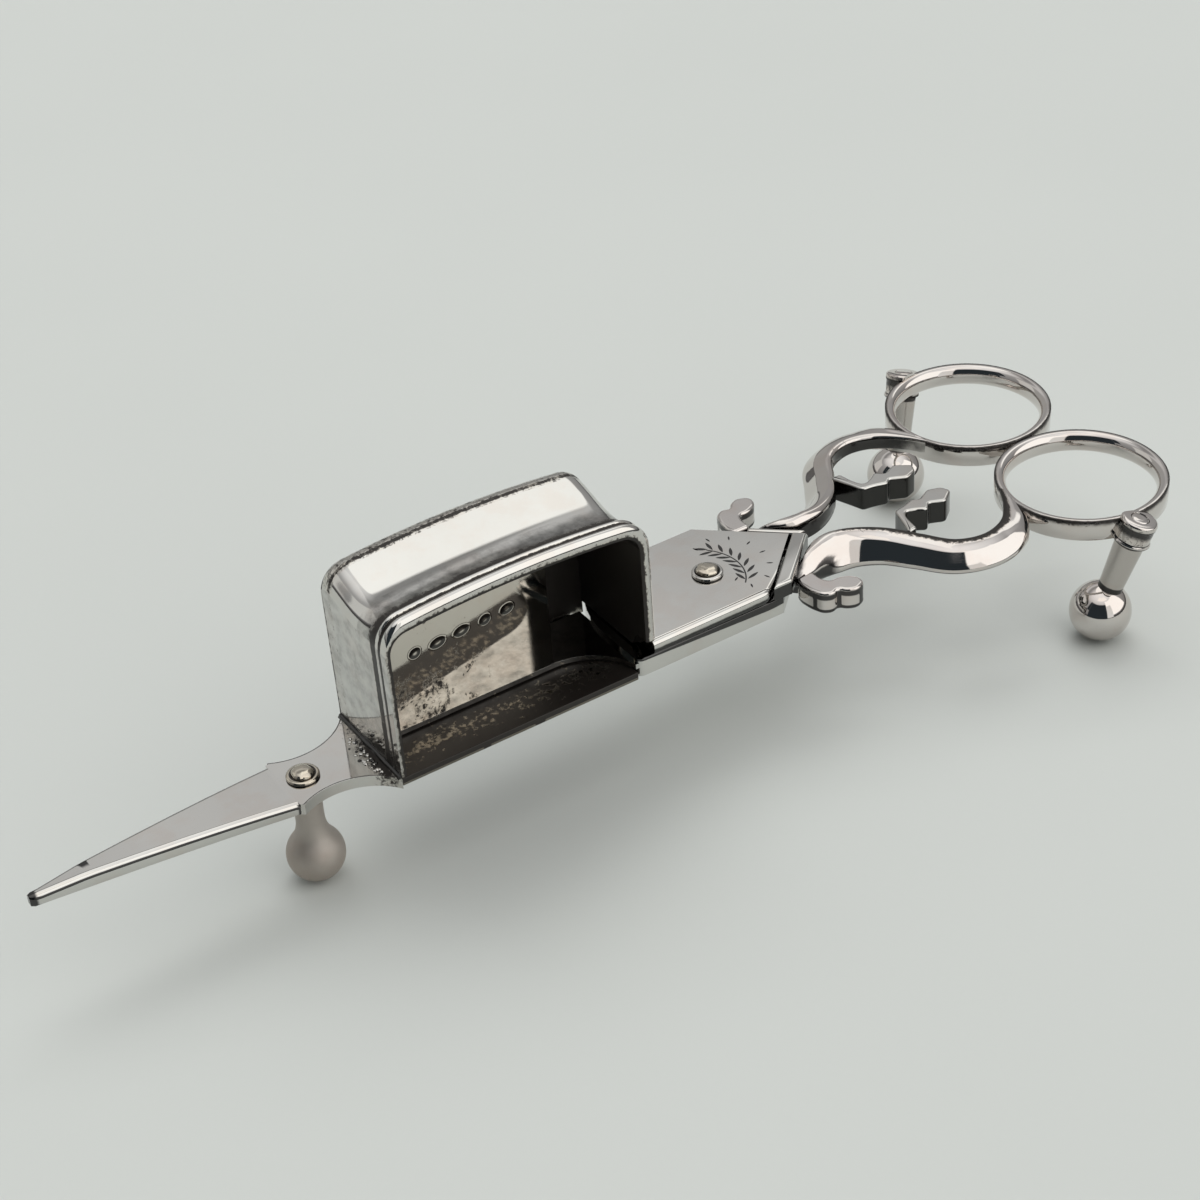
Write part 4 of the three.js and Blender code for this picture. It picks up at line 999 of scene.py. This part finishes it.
def legParts(ask=legSet):
    top, ball = Vector(ask["top"]), Vector(ask["ball"])
    way, long = (top - ball).normalized(), (top - ball).length
    lean = Matrix.Translation(ball) @ Vector((0, 0, 1)).rotation_difference(way).to_matrix().to_4x4()
    foot = long - ask["length"]
    profile = [(r, base + z) for base, rows in ((foot, ask["lower"]), (long, ask["upper"])) for r, z in rows]
    socket = turnedShape(profile, 56)
    # lowest, highest, innermost and outermost place of each dark ring
    rings = ((foot - 0.1, foot + 0.4, 2.5, 3.1), (foot + 0.72, foot + 0.8, 2, 3.1),
             (long - 1.4, long - 0.9, 2, 3.1), (long - 0.2, long + 0.2, 1.4, 1.46))
    paintTarnishAndShade(socket, lambda co: any(
        low < co.z < high and inner < co.xy.length < outer for low, high, inner, outer in rings))
    paintTarnishAndShade(socket, lambda co: 0.42 if foot + 0.9 < co.z < long - 0.1 and co.xy.length > 2.3 else 0, "grime")
    socket = moved(socket, lean)
    inwards = Vector((ringCentre.x - top.x, ringCentre.y - top.y, 0)).normalized()
    face = ringCentre - inwards * (ringSet["outer"] - ask["intoRing"])
    cutThrough(socket, face, inwards, clear_outer=True)
    low, high = ask["post"], ask["postTop"]
    post = turnedShape([
        (0, 3.6), (low, 3.6), (low, 5.1), (low + 0.02, 5.6), (high - 0.02, foot - 0.45), (high, foot - 0.15),
        (high, foot + 0.05), (0, foot + 0.05)], 48)
    post = moved(paintTarnishAndShade(post, lambda co: 0.9 if co.z < 5.2 or co.z > foot - 0.2 else 0), lean)
    dots = ballDots(ask["radius"], ask["flat"], pi / 2, 44)
    knob = paintTarnishAndShade(turnedShape(dots, 80), lambda co: 0.33 - 0.01 * co.z)
    knob = moved(knob, Matrix.Translation((ball.x, ball.y, 0)))
    return socket, post, knob


armSilver = silverLook("armSilver", tint=(0.64, 0.607, 0.58))
spurSilver = silverLook("spurSilver", oxide=(0.009, 0.009, 0.009), dirtGloss=0.3)
postSilver = silverLook("postSilver", tint=(0.5, 0.47, 0.44), gloss=0.22)
smooth = {"edge": 0, "angle": 50}
for arm, side, body in arms:
    socket, post, knob = legParts()
    for name, node, shape, look, edges in (
            ("Handle", "_handle", handleShape(1 if side < 0 else 0.3), armSilver, smooth),
            ("Scroll", "_scroll", leafSolid(scrollSet), armSilver, {"edge": 0.5, "clamp": False}),
            ("Spur", "_spur", leafSolid(spurSet), spurSilver, {"edge": 0.42, "clamp": False}),
            ("Ring", "_ring", ringShape(), armSilver, {"edge": 0, "angle": 60}),
            ("LegSocket", "_leg_socket", socket, armSilver, smooth),
            ("LegPost", "_leg_post", post, postSilver, smooth),
            ("LegBall", "_leg_ball", knob, armSilver, smooth)):
        pieceFrom(arm + name, sided(side, shape), look, body, (arm + node,), **edges)
print("arms made")


# Table, light and camera
tableSet = {"half": 12.0, "paper": (0.602, 0.628, 0.605), "gloss": 0.75}


def tableTop(ask=tableSet):
    shape = bmesh.new()
    bmesh.ops.create_grid(shape, x_segments=2, y_segments=2, size=ask["half"])
    mesh = bpy.data.meshes.new("tableTop")
    shape.to_mesh(mesh)
    shape.free()
    material = bpy.data.materials.new("palePaper")
    look = Finish(material)
    spot = look.spot()
    tone = look.cloud(spot, 0.008, 2) * 0.05 + look.cloud(spot, 1.2, 4) * 0.012 + 0.966
    look.finished(Base_Color=tone * ask["paper"], Roughness=ask["gloss"])
    mesh.materials.append(material)
    table = inScene("tableTop", mesh)


lightSet = {
    "azimuth": 66.0, "height": 57.0, "away": 5.0, "wide": 4.4, "tall": 3.0, "watts": 78.0,
    "wall": ((0.0, 0.08), (0.08, 0.1), (0.14, 0.28), (0.62, 0.42), (0.72, 0.5), (0.85, 0.9), (1.0, 1.25)),
    "farWall": ((0.0, 0.12), (0.05, 0.16), (0.12, 0.3), (0.2, 0.37), (0.5, 0.42), (0.546, 0.55),
                (0.572, 0.66), (0.6, 0.7), (0.65, 0.68), (0.69, 0.42), (0.73, 0.33), (0.78, 0.33),
                (1.0, 1.25)),
    "farTurn": (20, 112, 4),
    # turn from, turn to, height from, height to, lean of the edges, softness, level
    "patches": (
        (63, 112, 4, 33, 0, 2, (0.43, 0.43, 0.42)), (20, 96, 50, 78, 0.58, 2.5, (1.38, 1.38, 1.35)),
        (112, 146, 9, 40, 0, 1.2, (0.74, 0.74, 0.72)), (-106, -22, 9, 62, 0, 1.2, (1.52, 1.5, 1.46)),
        (-108, -84, 2, 45, 0, 1.2, (0.95, 0.95, 0.93)),
        (-165, -75, 66, 80, 0, 1.2, (1.4, 1.36, 1.3)), (-180, -107, -4, 52, 0, 1.2, (0.028, 0.036, 0.042)),
        (170, 182, 22, 52, 0, 1.2, (0.028, 0.036, 0.042))),
}


def studioLight(ask=lightSet):
    world = bpy.data.worlds.new("studio")
    bpy.context.scene.world = world
    room = Finish(world)
    way = room.node("ShaderNodeTexCoord", output="Generated")
    x, y, z = room.parts(way)
    turn = room.node("ShaderNodeMath", {"operation": "ARCTAN2"}, {0: y, 1: x}) * (180 / pi)
    rise = room.node("ShaderNodeMath", {"operation": "ARCSINE"}, {0: z}) * (180 / pi)

    def within(value, low, high, soft):
        return value.eased(low - soft, low + soft) * value.eased(high + soft, high - soft)

    walls = []
    for side in ("wall", "farWall"):
        stops = [(place, (level,) * 3) for place, level in ask[side]]
        walls.append(room.node("ShaderNodeValToRGB", {"stops": stops}, {0: z}))
    base = walls[0].mixed(walls[1], within(turn, *ask["farTurn"]))
    for left, right, low, high, lean, soft, level in ask["patches"]:
        height = rise - (turn - 60) * lean if lean else rise
        base = base.mixed(level, within(turn, left, right, soft) * within(height, low, high, soft))
    light = room.node("ShaderNodeBackground", None, {"Color": base, "Strength": 1.0})
    room.node("ShaderNodeOutputWorld", None, {"Surface": light})
    lamp = bpy.data.lights.new("softBox", "AREA")
    lamp.shape, lamp.size, lamp.size_y, lamp.energy = "RECTANGLE", ask["wide"], ask["tall"], ask["watts"]
    turn, rise = radians(ask["azimuth"]), radians(ask["height"])
    away = Vector((cos(rise) * cos(turn), cos(rise) * sin(turn), sin(rise)))
    box = inScene("softBox", lamp)
    box.location = away * ask["away"]
    box.rotation_euler = away.to_track_quat("Z", "Y").to_euler()
    box.visible_glossy = False  # the bright wall above stands for it in the silver


cameraSet = {  # focal length in pixels of the photograph
    "place": (-0.166921, -0.251037, 0.232021), "turn": -0.5326, "down": 0.6157, "roll": 0.080,
    "focal": 2451.751, "pixels": 1200, "sensor": 36.0, "clip": (0.01, 20),
}


def photoCamera(ask=cameraSet):
    turn, down, roll = ask["turn"], ask["down"], ask["roll"]
    ahead = Vector((-sin(turn) * cos(down), cos(turn) * cos(down), -sin(down)))
    right = ahead.cross(Vector((0, 0, 1))).normalized()
    below = ahead.cross(right)
    across = right * cos(roll) + below * sin(roll)
    under = below * cos(roll) - right * sin(roll)
    lens = bpy.data.cameras.new("photoCamera")
    lens.sensor_width, lens.lens = ask["sensor"], ask["focal"] / ask["pixels"] * ask["sensor"]
    lens.clip_start, lens.clip_end = ask["clip"]
    camera = inScene("photoCamera", lens)
    axes = Matrix((across, -under, -ahead)).transposed().to_4x4()
    camera.matrix_world = Matrix.Translation(Vector(ask["place"]) + Vector((rivetX, 0, 0))) @ axes
    bpy.context.scene.camera = camera


tableTop()
studioLight()
photoCamera()
bpy.context.scene.view_settings.view_transform = "Standard"
print("stage set")
